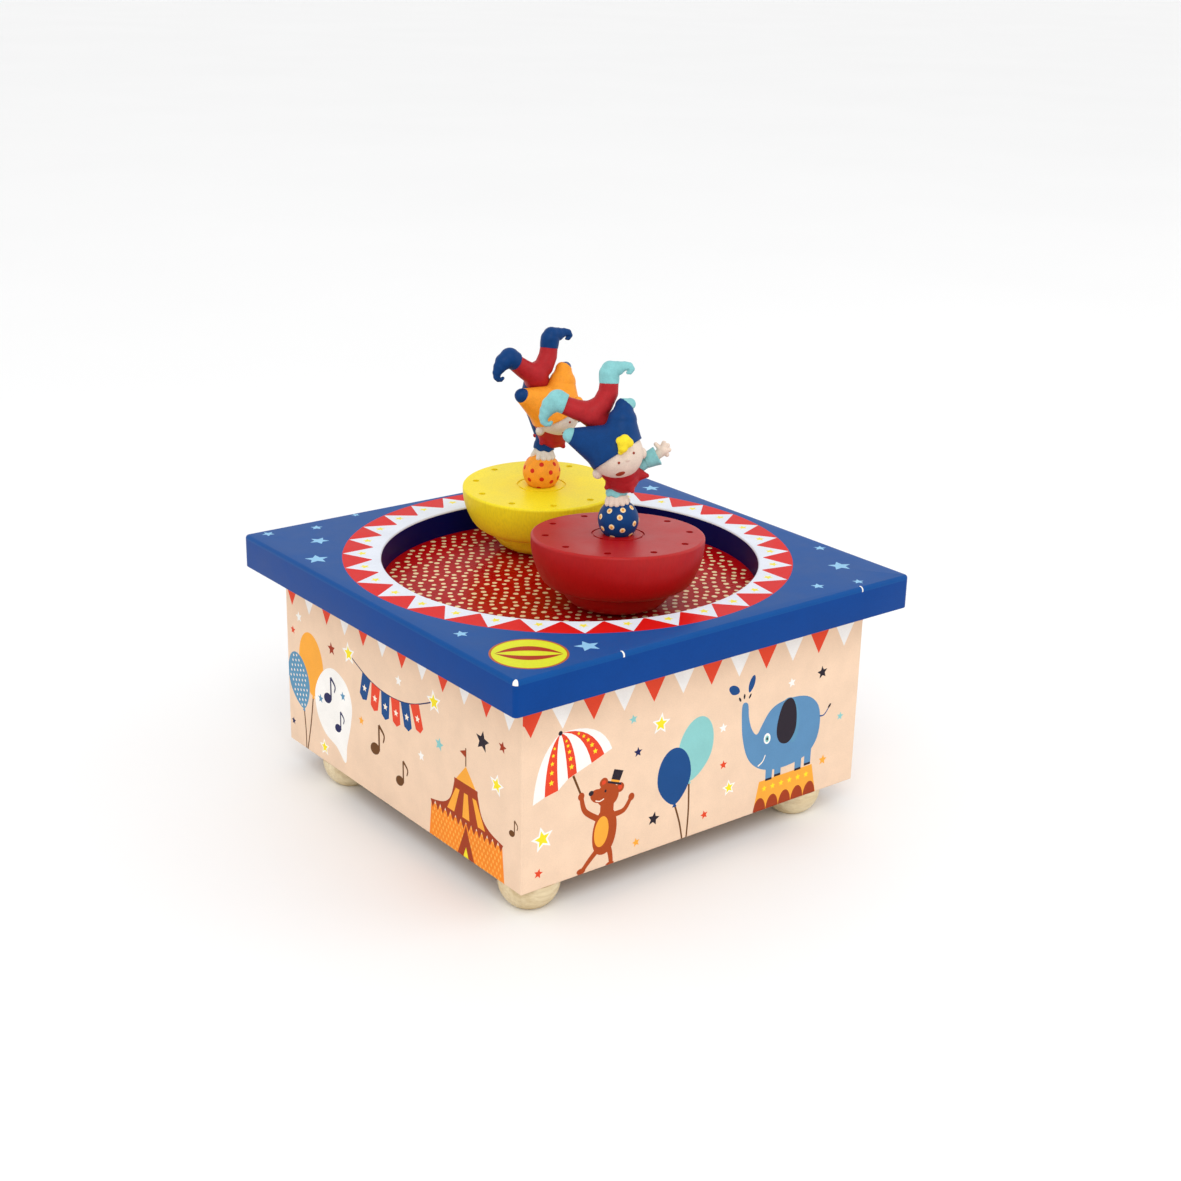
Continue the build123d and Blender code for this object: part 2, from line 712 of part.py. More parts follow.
def dome(base, size, first_hole):
    """A bowl-shaped dome of wood, flat side up, on a rounded foot, with a hollow for the figure."""
    radius, height, belly = size
    across = Plane(origin=base.origin, x_dir=base.x_dir, z_dir=-base.y_dir)
    top = base.offset(height)
    foot = radius - foot_inset
    side = [(radius, height)] + [(radius - inset, belly + share * (height - belly)) for inset, share in dome_side]
    side.append((radius - belly_inset, belly))
    with BuildPart() as wood:
        with BuildSketch(across):
            with BuildLine():
                ThreePointArc((0, 0), (foot_flat / 2, dome_crown / 4), (foot_flat, dome_crown))
                ThreePointArc((foot_flat, dome_crown), (foot - 1.6, belly * 0.42), (foot, belly - 0.6))
                Polyline((foot, belly - 0.6), (foot, belly), side[-1])
                Spline(*reversed(side))
                Polyline(side[0], (0, height), (0, 0))
            make_face()
        revolve(axis=Axis(base.origin, base.z_dir))
        fillet(wood.edges().filter_by(GeomType.CIRCLE).sort_by(SortBy.LENGTH)[-1], radius=dome_rim)
        with BuildSketch(base):
            Circle(magnet_radius + loose)
        extrude(amount=dome_magnet_height + 1.2, mode=Mode.SUBTRACT)
        with BuildSketch(top):
            Circle(ring_radii[1])
            Circle(ring_radii[0], mode=Mode.SUBTRACT)
        extrude(amount=-ring_depth, mode=Mode.SUBTRACT)
        with BuildSketch(top):
            with PolarLocations(rim_hole_circle * radius, rim_holes, start_angle=first_hole):
                Circle(rim_hole_radius)
        extrude(amount=-rim_hole_depth, mode=Mode.SUBTRACT)
        with BuildSketch(top):
            Circle(peg_radius + loose)
        extrude(amount=-peg_depth - 0.5, mode=Mode.SUBTRACT)
        with Locations(base.offset(height + ball_rise)):
            Sphere(ball_radius + loose, mode=Mode.SUBTRACT)
    return wood.part


def dome_magnet(base):
    """The disc magnet glued into the foot of a dome."""
    with BuildPart() as magnet:
        with BuildSketch(base.offset(1.0)):
            Circle(magnet_radius)
        extrude(amount=dome_magnet_height)
    return magnet.part


def figure_pin(base, height):
    """The steel peg that holds the ball on the dome."""
    with BuildPart() as pin:
        with BuildSketch(base.offset(height - peg_depth)):
            Circle(peg_radius)
        extrude(amount=peg_length)
    return pin.part


# the acrobat's limbs, from joint to joint with the radius at each end, in the figure's own frame:
# X to its left hand, Y behind it, Z up from the middle of the ball
head_centre = (1.2, -3.4, 21.5)
head_radius = 8.05
acrobat_limbs = [
    ((0, 0.2, 5.0), (0.4, 0.6, 8.6), 3.3, 2.9),
    ((0.4, 0.6, 8.6), (1.6, 2.0, 12.0), 2.9, 4.2),
    ((1.6, 2.0, 12.0), (1.0, 4.6, 20.0), 4.2, 4.6),
    ((1.0, 4.6, 20.0), (-2.6, 3.4, 29.0), 4.6, 4.3),
    ((-2.6, 3.4, 29.0), (-5.6, 1.2, 33.4), 4.3, 3.7),
    ((-5.6, 1.2, 33.4), (-13.3, 1.5, 36.5), 3.6, 2.9),
    ((-13.3, 1.5, 36.5), (-15.5, 1.7, 38.0), 3.0, 3.45),
    ((-15.5, 1.7, 38.0), (-17.5, 1.8, 36.9), 3.45, 3.3),
    ((-17.5, 1.8, 36.9), (-20.7, 1.4, 34.6), 3.3, 1.3),
    ((-20.7, 1.4, 34.6), (-20.9, 1.2, 32.6), 1.3, 1.0),
    ((-5.6, 1.2, 33.4), (-1.9, 1.6, 35.7), 3.7, 3.3),
    ((-1.9, 1.6, 35.7), (0.6, 3.2, 41.8), 3.3, 3.1),
    ((0.6, 3.2, 41.8), (0.9, 3.3, 44.8), 3.1, 3.15),
    ((0.9, 3.3, 44.8), (1.3, 3.3, 45.8), 3.15, 2.85),
    ((1.3, 3.3, 45.8), (5.7, 2.6, 46.7), 2.85, 1.5),
    ((5.7, 2.6, 46.7), (7.6, 2.2, 46.1), 1.5, 1.25),
    ((2.6, 2.0, 12.8), (9.8, 1.5, 17.2), 3.4, 2.3),
    ((9.8, 1.5, 17.2), (13.3, 1.6, 18.5), 2.3, 2.75),
    ((13.3, 1.6, 18.5), (15.4, 1.8, 20.2), 1.8, 2.3),
    ((-0.6, -3.2, 22.9), (-6.2, -2.9, 25.3), 8.6, 5.6),
    ((-6.2, -2.9, 25.3), (-12.2, -2.5, 27.9), 5.6, 2.75),
    ((2.3, -3.0, 24.3), (3.7, -2.0, 30.9), 7.6, 4.6),
    ((3.7, -2.0, 30.9), (4.5, -0.8, 35.0), 4.6, 2.9),
    ((4.5, -0.8, 35.0), (6.4, 0.8, 35.4), 2.9, 1.9),
    ((1.2, -2.0, 16.9), (3.0, -1.0, 11.5), 6.7, 5.3),
]


def standing_plane(base, height, face, back, aside):
    """The frame an acrobat was glued on in: it looks along face and leans back and aside a little."""
    way = math.radians(lean_heading)
    tip, roll = math.radians(back), math.tan(math.radians(aside))
    upward = Vector(
        math.sin(tip) * math.cos(way) - roll * math.sin(way),
        math.sin(tip) * math.sin(way) + roll * math.cos(way),
        math.cos(tip),
    ).normalized()
    turn = math.radians(face + 90)
    level = Vector(math.cos(turn), math.sin(turn), 0)
    left_hand = level - upward * level.dot(upward)
    return Plane(origin=base.offset(height + ball_rise).origin, x_dir=left_hand, z_dir=upward)


def acrobat(base, height, stand):
    """The figure and the ball it balances on, cast in one piece, with a blind hole for the pin."""
    standing = (Align.CENTER, Align.CENTER, Align.MIN)
    hole_bottom = height - 2
    head = stand.from_local_coords(Vector(*head_centre) * figure_scale)
    lumps = [Pos(*head) * Sphere(head_radius * figure_scale)]
    for first, second, radius_one, radius_two in acrobat_limbs:
        start = stand.from_local_coords(Vector(*first) * figure_scale)
        end = stand.from_local_coords(Vector(*second) * figure_scale)
        cone = Cone(radius_one * figure_scale, radius_two * figure_scale, (end - start).length, align=standing)
        lumps.append(Plane(origin=start, z_dir=end - start) * cone)
        lumps.append(Pos(*end) * Sphere(radius_two * figure_scale))
    ball = Pos(*stand.origin) * Sphere(ball_radius)
    with BuildPart() as cast:
        add(ball.fuse(*lumps))
        with BuildSketch(base.offset(hole_bottom)):
            Circle(peg_radius + loose)
        extrude(amount=peg_length - peg_depth + height + 0.4 - hole_bottom, mode=Mode.SUBTRACT)
    return cast.part


for name, spot, size, lean, pose, first_hole in dancers:
    base = leaning_plane(spot, lean)
    height = size[1]
    finish_piece(drive_magnet(spot), f"{name}_drive_magnet")
    finish_piece(dome(base, size, first_hole), f"{name}_dome")
    finish_piece(dome_magnet(base), f"{name}_dome_magnet")
    finish_piece(figure_pin(base, height), f"{name}_figure_pin")
    finish_piece(acrobat(base, height, standing_plane(base, height, *pose)), f"{name}_jester")
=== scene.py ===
"""Looks of the wooden music box: the printed case, the dance floor, and two acrobats on half-ball domes.

Lengths are millimetres in the part's frame until Shell.build() or cast_piece() turns them into metres.
The camera, the lights and the ground are placed in metres.
"""
import bpy
import json
import math
import numpy as np
from mathutils import Matrix, Vector
from mathutils.geometry import delaunay_2d_cdt


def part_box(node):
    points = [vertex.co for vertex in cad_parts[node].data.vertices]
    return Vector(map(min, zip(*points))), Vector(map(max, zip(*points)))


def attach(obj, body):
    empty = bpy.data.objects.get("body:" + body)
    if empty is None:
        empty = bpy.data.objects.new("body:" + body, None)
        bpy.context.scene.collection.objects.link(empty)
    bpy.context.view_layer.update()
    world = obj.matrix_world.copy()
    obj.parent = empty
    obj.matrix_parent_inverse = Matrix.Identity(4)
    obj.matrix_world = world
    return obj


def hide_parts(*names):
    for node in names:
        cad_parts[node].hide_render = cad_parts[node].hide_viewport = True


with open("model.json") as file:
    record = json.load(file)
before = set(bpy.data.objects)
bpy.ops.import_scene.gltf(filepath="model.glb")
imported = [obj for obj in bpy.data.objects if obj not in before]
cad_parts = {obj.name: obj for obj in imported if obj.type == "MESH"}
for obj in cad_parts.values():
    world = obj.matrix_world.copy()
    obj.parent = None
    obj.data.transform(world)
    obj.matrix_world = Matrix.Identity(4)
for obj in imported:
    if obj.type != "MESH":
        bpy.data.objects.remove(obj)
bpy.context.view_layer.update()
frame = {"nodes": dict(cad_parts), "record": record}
MM = 0.001


def node_box(node):
    """A CAD node's lowest and highest corner in millimetres."""
    low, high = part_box(node)
    return low / MM, high / MM


# ---------------------------------------------------------------- camera and lights
camera_data = bpy.data.cameras.new("camera")
camera_data.lens = 56.08
camera_data.sensor_width = 36.0
camera = bpy.data.objects.new("camera", camera_data)
bpy.context.scene.collection.objects.link(camera)
bpy.context.scene.camera = camera
camera_right = Vector((0.7899, -0.6129, 0.0215))
camera_up = Vector((0.1924, 0.2809, 0.9403))
camera_back = camera_right.cross(camera_up)
camera_place = (-0.34667, -0.45086, 0.27507)
camera.matrix_world = Matrix.Translation(camera_place) @ Matrix(
    (camera_right, camera_up, camera_back)
).transposed().to_4x4()


light_aim = Vector((0, 0, 0.05))


def soft_light(name, place, size, power, colour=(1, 1, 1)):
    """A square area light that faces the middle of the box."""
    data = bpy.data.lights.new(name, "AREA")
    data.shape = "SQUARE"
    data.size = size
    data.energy = power
    data.color = colour
    light = bpy.data.objects.new(name, data)
    bpy.context.scene.collection.objects.link(light)
    aim = light_aim - Vector(place)
    light.matrix_world = Matrix.Translation(place) @ aim.to_track_quat("-Z", "Y").to_matrix().to_4x4()


soft_light("key", (-0.7, -1.0, 1.3), 0.9, 7.0)
soft_light("fill", (1.2, -0.8, 0.9), 1.0, 2.3)

world = bpy.data.worlds.new("studio")
bpy.context.scene.world = world
world.use_nodes = True
world.node_tree.nodes["Background"].inputs["Color"].default_value = (1.0, 1.0, 1.0, 1.0)
world.node_tree.nodes["Background"].inputs["Strength"].default_value = 1.0
bpy.context.scene.view_settings.view_transform = "Standard"


# ---------------------------------------------------------------- materials
def linear(code):
    """A colour written as rrggbb in the usual screen code, as linear light."""
    parts = [int(code[i:i + 2], 16) / 255 for i in (0, 2, 4)]
    return tuple(((p + 0.055) / 1.055) ** 2.4 if p > 0.04045 else p / 12.92 for p in parts) + (1.0,)


def shade(colour, factor):
    """The same colour, lighter or darker."""
    return tuple(min(1.0, part * factor) for part in colour[:3]) + (1.0,)


materials = {}


class Surface:
    """A node material under construction. Coordinates are the object's own, in metres."""

    def __init__(self, name, roughness=0.5, metallic=0.0, bending=1.5):
        self.material = bpy.data.materials.new(name)
        materials[name] = self.material
        self.material.use_nodes = True
        self.tree = self.material.node_tree
        self.shader = self.tree.nodes["Principled BSDF"]
        self.shader.inputs["Roughness"].default_value = roughness
        self.shader.inputs["Metallic"].default_value = metallic
        self.shader.inputs["IOR"].default_value = bending
        self.coordinates = self.add("ShaderNodeTexCoord").outputs["Object"]

    def add(self, kind, **values):
        """A node of that kind; values set its inputs by name or attributes of the node."""
        node = self.tree.nodes.new(kind)
        for key, value in values.items():
            if key in node.bl_rna.properties:
                setattr(node, key, value)
            else:
                node.inputs[key.replace("_", " ")].default_value = value
        return node

    def link(self, output, socket):
        self.tree.links.new(output, socket)

    def noise(self, scale, detail=3.0, roughness=0.5, stretch=(1, 1, 1)):
        """A noise value between 0 and 1; scale is the number of blotches in a metre."""
        place = self.add("ShaderNodeMapping")
        place.inputs["Scale"].default_value = stretch
        texture = self.add("ShaderNodeTexNoise", Scale=scale, Detail=detail, Roughness=roughness)
        self.link(self.coordinates, place.inputs["Vector"])
        self.link(place.outputs["Vector"], texture.inputs["Vector"])
        return texture.outputs["Fac"]

    def ramp(self, value, stops, interpolation="LINEAR"):
        """Colours along a value: stops are (position, colour)."""
        node = self.add("ShaderNodeValToRGB")
        node.color_ramp.interpolation = interpolation
        elements = node.color_ramp.elements
        while len(elements) < len(stops):
            elements.new(0.5)
        for element, (position, colour) in zip(elements, stops):
            element.position = position
            element.color = colour
        self.link(value, node.inputs["Fac"])
        return node.outputs["Color"]

    def level(self, value, low, high, to_low=0.0, to_high=1.0):
        """The value, stretched from the range low to high, and held inside the new range."""
        node = self.add("ShaderNodeMapRange")
        node.clamp = True
        for socket, number in zip(("From Min", "From Max", "To Min", "To Max"), (low, high, to_low, to_high)):
            node.inputs[socket].default_value = number
        self.link(value, node.inputs["Value"])
        return node.outputs["Result"]

    def mix(self, factor, first, second, blend="MIX"):
        """Two colours, each a socket or a colour, mixed by a socket or a number."""
        node = self.add("ShaderNodeMix", data_type="RGBA", blend_type=blend)
        sockets = [s for s in node.inputs if s.type == "RGBA"]
        fac = next(s for s in node.inputs if s.type == "VALUE")
        for socket, value in ((fac, factor), (sockets[0], first), (sockets[1], second)):
            if isinstance(value, bpy.types.NodeSocket):
                self.link(value, socket)
            else:
                socket.default_value = value
        return next(s for s in node.outputs if s.type == "RGBA")

    def bump(self, height, distance, strength=1.0):
        """Raises the surface by the height value; distance is in millimetres."""
        node = self.add("ShaderNodeBump", Strength=strength, Distance=distance * MM)
        self.link(height, node.inputs["Height"])
        if self.shader.inputs["Normal"].is_linked:
            self.link(self.shader.inputs["Normal"].links[0].from_socket, node.inputs["Normal"])
        self.link(node.outputs["Normal"], self.shader.inputs["Normal"])

    def colour(self, value):
        self.link(value, self.shader.inputs["Base Color"])

    def rough(self, value):
        self.link(value, self.shader.inputs["Roughness"])

    def paint(self, base, cloud, tones, fine, specks, gloss):
        """Mottled by the cloud and darkened by fine specks; tones and specks are (noise value, factor)."""
        toned = self.ramp(cloud, [(place, shade(base, factor)) for place, factor in tones])
        specked = self.ramp(fine, [(place, (factor,) * 3 + (1,)) for place, factor in specks])
        self.colour(self.mix(1.0, toned, specked, "MULTIPLY"))
        self.rough(self.level(cloud, 0.3, 0.7, *gloss))



def ink(name, code, roughness=0.42, mottle=0.05, speckle=0.05, bending=1.2):
    """A print colour on sealed fibreboard: a fine mottle, a finer speckle, and a skin not quite flat."""
    surface = Surface(name, roughness=roughness, bending=bending)
    surface.paint(linear(code), surface.noise(90.0, 4.0, 0.6), [(0.3, 1 - mottle), (0.7, 1 + mottle)],
                  surface.noise(2600.0, 2.0, 0.6), [(0.35, 1 - speckle), (0.65, 1.0)],
                  (roughness - 0.04, roughness + 0.05))
    surface.bump(surface.noise(1500.0, 3.0), 0.02, 0.35)


case_inks = {
    "peach": "EECFB3", "bunting_red": "E5492F", "bunting_white": "F3F1EF", "white": "F8F5F0",
    "yellow": "F6E12F", "orange": "F8AA3E", "deep_orange": "F58A2A", "brick": "A23F22", "dark_red": "A23A22",
    "teal": "8CC9C7", "sky": "5F93B4", "dusk_blue": "5E8DB6", "royal": "1F4C86", "night": "2A2C58",
    "black": "2E2730", "brown": "AE4A22", "line_brown": "6B4423", "star_red": "E04A2B", "cream": "FBEBD8",
    "amber_dash": "FFB552",
}
for ink_name, code in case_inks.items():
    ink(ink_name, code, roughness=0.5, bending=1.16)

lid_inks = {
    "lid_blue": "0F4C91", "lid_side": "06408A", "lid_star": "8EC3E6", "ring_red": "D41613",
    "ring_white": "DFE4EE",
    "ring_star": "EFE04A", "ball_lime": "D8DC2C", "ball_stripe": "A8321A", "ball_edge": "B9602A",
    "well_wall": "060E52", "chip": "F4F1EA",
}
for ink_name, code in lid_inks.items():
    ink(ink_name, code, roughness=0.36, mottle=0.05, speckle=0.07, bending=1.16)
ink("floor_red", "AC0606", roughness=0.28, mottle=0.10, speckle=0.08, bending=1.12)
ink("floor_dot", "F0D6A2", roughness=0.26, mottle=0.04, speckle=0.05, bending=1.3)
ink("raw_board", "B08B62", roughness=0.85, mottle=0.08, speckle=0.2)


def lacquer(name, code, roughness=0.36, bending=1.25):
    """Brushed lacquer over turned wood: faint rings of the turning, pores, and small dents."""
    surface = Surface(name, roughness=roughness, bending=bending)
    pores = surface.noise(1800.0, 2.0, 0.65, (1.0, 1.0, 0.25))
    surface.paint(linear(code), surface.noise(60.0, 4.0, 0.6), [(0.3, 0.94), (0.7, 1.05)],
                  pores, [(0.3, 0.88), (0.6, 1.0)], (roughness - 0.04, roughness + 0.08))
    surface.bump(surface.noise(700.0, 4.0, 0.6), 0.05, 0.5)


lacquer("yellow_lacquer", "F6DF22")
lacquer("red_lacquer", "B00707", roughness=0.4, bending=1.38)


def bare_wood(name, pale, dark, axis=0, roughness=0.55):
    """Clear-varnished beech: long fibres along one axis with short dark flecks."""
    surface = Surface(name, roughness=roughness, bending=1.35)
    stretch = [1.0, 1.0, 1.0]
    stretch[axis] = 0.08
    fibre = surface.noise(900.0, 5.0, 0.6, stretch)
    bands = surface.noise(130.0, 3.0, 0.5, stretch)
    wood = surface.ramp(bands, [(0.35, linear(pale)), (0.65, linear(dark))])
    flecks = surface.ramp(fibre, [(0.38, (0.86, 0.82, 0.76, 1)), (0.6, (1.0,) * 3 + (1,))])
    surface.colour(surface.mix(1.0, wood, flecks, "MULTIPLY"))
    surface.rough(surface.level(fibre, 0.3, 0.7, roughness - 0.08, roughness + 0.08))
    surface.bump(fibre, 0.06, 0.4)


bare_wood("beech", "E6D6B4", "D3BD92")
bare_wood("plain_board", "C39B6A", "A67D50", roughness=0.8)


def metal(name, code, roughness, brush=(1, 1, 1)):
    """A machined metal with fine brush marks and a slight stain."""
    surface = Surface(name, roughness=roughness, metallic=1.0)
    base = linear(code)
    marks = surface.noise(2200.0, 3.0, 0.6, brush)
    stain = surface.noise(120.0, 4.0, 0.6)
    surface.colour(surface.ramp(stain, [(0.3, shade(base, 0.86)), (0.7, base)]))
    surface.rough(surface.level(marks, 0.3, 0.7, roughness - 0.08, roughness + 0.12))
    surface.bump(marks, 0.01, 0.4)


metal("steel", "B9BCC0", 0.32, (1, 1, 0.1))
metal("zinc", "A5A8AB", 0.5)
metal("brass", "D2A74E", 0.3, (1, 1, 0.15))
metal("magnet_nickel", "C9C9C6", 0.2)

for node, thing in frame["nodes"].items():
    slot = next(p["material_slot"] for p in frame["record"]["subparts"] if p["node"] == node)
    if slot in materials:
        thing.data.materials.clear()
        thing.data.materials.append(materials[slot])


# ---------------------------------------------------------------- mesh and drawing helpers
def hang(name, mesh, body):
    """The mesh as an object that rides on its body."""
    piece = bpy.data.objects.new(name, mesh)
    bpy.context.scene.collection.objects.link(piece)
    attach(piece, body)
    return piece


class Shell:
    """Collects points and faces, each face with the name of its material, and makes one mesh of them."""

    def __init__(self):
        self.points = []
        self.faces = []
        self.names = []

    def point(self, place):
        self.points.append(Vector(place))
        return len(self.points) - 1

    def face(self, corners, name):
        self.faces.append(tuple(corners))
        self.names.append(name)

    def printed(self, points, triangles, place):
        """The cut-up drawing; place puts a flat point into space."""
        for p in points:
            self.point(place(p))
        for cell, name in triangles:
            self.face(cell, name)

    def band(self, last, ring, names):
        """Faces between a closed loop and the next one, each with its own ink."""
        for k, name in enumerate(names):
            after = (k + 1) % len(last)
            self.face((last[after], last[k], ring[k], ring[after]), name)
        return ring

    def build(self, name, body, sharp=35.0):
        """The mesh object, riding on its body."""
        mesh = bpy.data.meshes.new(name)
        mesh.from_pydata([p * MM for p in self.points], [], self.faces)
        used = list(dict.fromkeys(self.names))
        for material in used:
            mesh.materials.append(materials[material])
        for polygon, material in zip(mesh.polygons, self.names):
            polygon.material_index = used.index(material)
            polygon.use_smooth = True
        mesh.set_sharp_from_angle(angle=math.radians(sharp))
        mesh.validate()
        return hang(name, mesh, body)


def drawn_face(outline, shapes, ground, holes=()):
    """A flat outline cut into triangles along every shape painted on it; later shapes lie on top.

    Returns the points, the triangles with their ink, and the ordered loops of the border.
    """
    loops = [outline, *holes, *[points for name, points in shapes]]
    verts, faces = [], []
    for loop in loops:
        turn = sum(a[0] * b[1] - b[0] * a[1] for a, b in zip(loop, loop[1:] + loop[:1]))
        ordered = loop if turn > 0 else loop[::-1]
        faces.append(range(len(verts), len(verts) + len(ordered)))
        verts.extend(Vector(p) for p in ordered)
    inside_only, weld = 1, 1e-5
    cut_up = delaunay_2d_cdt(verts, [], [list(f) for f in faces], inside_only, weld)
    points, cells, from_faces = cut_up[0], cut_up[2], cut_up[5]
    cut = set(range(1, 1 + len(holes)))
    first_shape = 1 + len(holes)
    triangles = []
    for cell, sources in zip(cells, from_faces):
        if 0 not in sources or cut & set(sources):
            continue
        top = max(sources)
        triangles.append((cell, shapes[top - first_shape][0] if top >= first_shape else ground))
    used = sorted({v for cell, _ in triangles for v in cell})
    number = {v: k for k, v in enumerate(used)}
    points = [points[v] for v in used]
    triangles = [([number[v] for v in cell], name) for cell, name in triangles]
    border = {}
    for cell, name in triangles:
        for a, b in zip(cell, cell[1:] + cell[:1]):
            border[(a, b)] = name
    border = {edge: name for edge, name in border.items() if (edge[1], edge[0]) not in border}
    following = {a: (b, name) for (a, b), name in border.items()}
    found = []
    while following:
        start = next(iter(following))
        loop, here = [], start
        while here in following:
            after, name = following.pop(here)
            loop.append((here, name))
            here = after
        found.append(loop)
    found.sort(key=lambda loop: -max(abs(points[v].x) for v, name in loop))
    return points, triangles, found


def star(x, y, size, turn=0.0, arms=5, waist=0.46):
    """A star with its first arm up; turn is in degrees, anticlockwise."""
    corners = []
    for k in range(2 * arms):
        angle = math.radians(90 + turn + 180 * k / arms)
        reach = size if k % 2 == 0 else size * waist
        corners.append((x + reach * math.cos(angle), y + reach * math.sin(angle)))
    return corners


def oval(x, y, half_width, half_height, turn=0.0, count=28, egg=0.0):
    """An ellipse; egg pulls its lower end in to a balloon's shape."""
    corners = []
    c, s = math.cos(math.radians(turn)), math.sin(math.radians(turn))
    for k in range(count):
        angle = 2 * math.pi * k / count
        across, up = half_width * math.cos(angle), half_height * math.sin(angle)
        if up < 0:
            across *= 1 - egg * (up / half_height) ** 2
        corners.append((x + c * across - s * up, y + s * across + c * up))
    return corners


def rounded(points, steps=5, closed=True):
    """A smooth curve through the points (Catmull-Rom)."""
    count = len(points)
    line = []
    for k in range(count if closed else count - 1):
        if closed:
            a, b, c, d = (Vector(points[(k + i) % count]) for i in (-1, 0, 1, 2))
        else:
            a, b, c, d = (Vector(points[min(max(k + i, 0), count - 1)]) for i in (-1, 0, 1, 2))
        for step in range(steps):
            t = step / steps
            line.append(0.5 * (2 * b + (c - a) * t + (2 * a - 5 * b + 4 * c - d) * t * t
                               + (3 * b - a - 3 * c + d) * t ** 3))
    if not closed:
        line.append(Vector(points[-1]))
    return [tuple(p) for p in line]


def stroke(points, width, end_width=None, steps=5):
    """A line of that width along a smooth curve through the points."""
    line = [Vector(p) for p in rounded(points, steps, closed=False)]
    end_width = width if end_width is None else end_width
    left, right = [], []
    for k, here in enumerate(line):
        way = (line[min(k + 1, len(line) - 1)] - line[max(k - 1, 0)]).normalized()
        half = 0.5 * (width + (end_width - width) * k / (len(line) - 1))
        side = Vector((-way.y, way.x)) * half
        left.append(tuple(here + side))
        right.append(tuple(here - side))
    return left + right[::-1]


def along(points, share):
    """The place at that share of the way along straight runs between the points."""
    runs = [(Vector(b) - Vector(a)).length for a, b in zip(points, points[1:])]
    left = share * sum(runs)
    for (a, b), run in zip(zip(points, points[1:]), runs):
        if left <= run or (a, b) == (points[-2], points[-1]):
            return Vector(a).lerp(Vector(b), left / run)
        left -= run


# ---------------------------------------------------------------- the prints on the case
def bordered_star(x, y, size, turn=0.0):
    """A yellow star on a white one."""
    inner = 0.66
    return [("white", star(x, y, size, turn)), ("yellow", star(x, y, size * inner, turn))]


def bunting(first, pitch, tip, top, count=13):
    """Triangles side by side under the lid, red and white in turn."""
    shapes = []
    for k in range(count):
        middle = first + pitch * k
        corners = [(middle - pitch / 2, top), (middle + pitch / 2, top), (middle, tip)]
        shapes.append(("bunting_red" if k % 2 == 0 else "bunting_white", corners))
    return shapes


def balloon(name, x, y, half_width, half_height, turn, string_end, dots=None):
    """A balloon on a string; dots names the ink of a dotted pattern."""
    c, s = math.cos(math.radians(turn)), math.sin(math.radians(turn))
    knot_size = 0.9
    knot = (x + s * half_height, y - c * half_height)
    bend = ((knot[0] + string_end[0]) / 2 + 0.4, (knot[1] + string_end[1]) / 2)
    shapes = [("line_brown", stroke([knot, bend, string_end], 0.7, 0.6))]
    shapes.append((name, oval(x, y, half_width, half_height, turn, 40, egg=0.34)))
    left, right = knot[0] - knot_size, knot[0] + knot_size
    shapes.append((name, [(left, knot[1] - knot_size), (right, knot[1] - knot_size), (knot[0], knot[1] + 1)]))
    if dots:
        pitch = 2.15
        for row in range(-6, 7):
            for column in range(-5, 6):
                across = pitch * (column + 0.5 * (row % 2))
                up = pitch * 0.8 * row
                slender = 0.86 if up > 0 else 0.72
                room = math.sqrt(max(0.0, 1 - (up / half_height) ** 2)) * half_width * slender
                if abs(across) < room:
                    place = (x + c * across - s * up, y + s * across + c * up)
                    shapes.append((dots, oval(*place, 0.36, 0.5, turn, 8)))
    return shapes


def music_note(x, y, size, name="line_brown"):
    """A generic quaver: a head, a stem and a flag."""
    stem = [(x + 0.28 * size, y), (x + 0.28 * size, y + size)]
    flag = [stem[1], (x + 0.62 * size, y + 0.72 * size), (x + 0.55 * size, y + 0.42 * size)]
    return [
        (name, oval(x, y, 0.32 * size, 0.23 * size, 20, 14)),
        (name, stroke(stem, 0.11 * size, steps=1)),
        (name, stroke(flag, 0.14 * size, 0.06 * size)),
    ]


def pennant_string(ends, sag, count, inks):
    """A cord between two bordered stars with pointed pennants along it."""
    (x1, y1), (x2, y2) = ends
    low = ((x1 + x2) / 2, (y1 + y2) / 2 - sag)
    line = rounded([(x1, y1), ((x1 + low[0]) / 2, (y1 + low[1]) / 2 - 0.25 * sag), low,
                    ((x2 + low[0]) / 2, (y2 + low[1]) / 2 - 0.25 * sag), (x2, y2)], 6, closed=False)
    shapes = [("night", stroke(line, 0.42, steps=1))]
    shoulder, length, half_width = 0.86, 9.2, 2.55
    for k in range(count):
        top = along(line, 0.17 + 0.66 * (k + 0.5) / count)
        ahead = along(line, 0.19 + 0.66 * (k + 0.5) / count)
        way = (ahead - top).normalized()
        down = Vector((way.y, -way.x)) * length
        way = way * half_width
        flag = [top - way, top - way * shoulder + down * shoulder, top + down,
                top + way * shoulder + down * shoulder, top + way]
        shapes.append((inks[k % len(inks)], [tuple(p) for p in flag]))
        shapes.append(("cream", star(*(top + down * 0.5), 1.35)))
    for end in ends:
        shapes += bordered_star(*end, 4.0, 8)
    return shapes


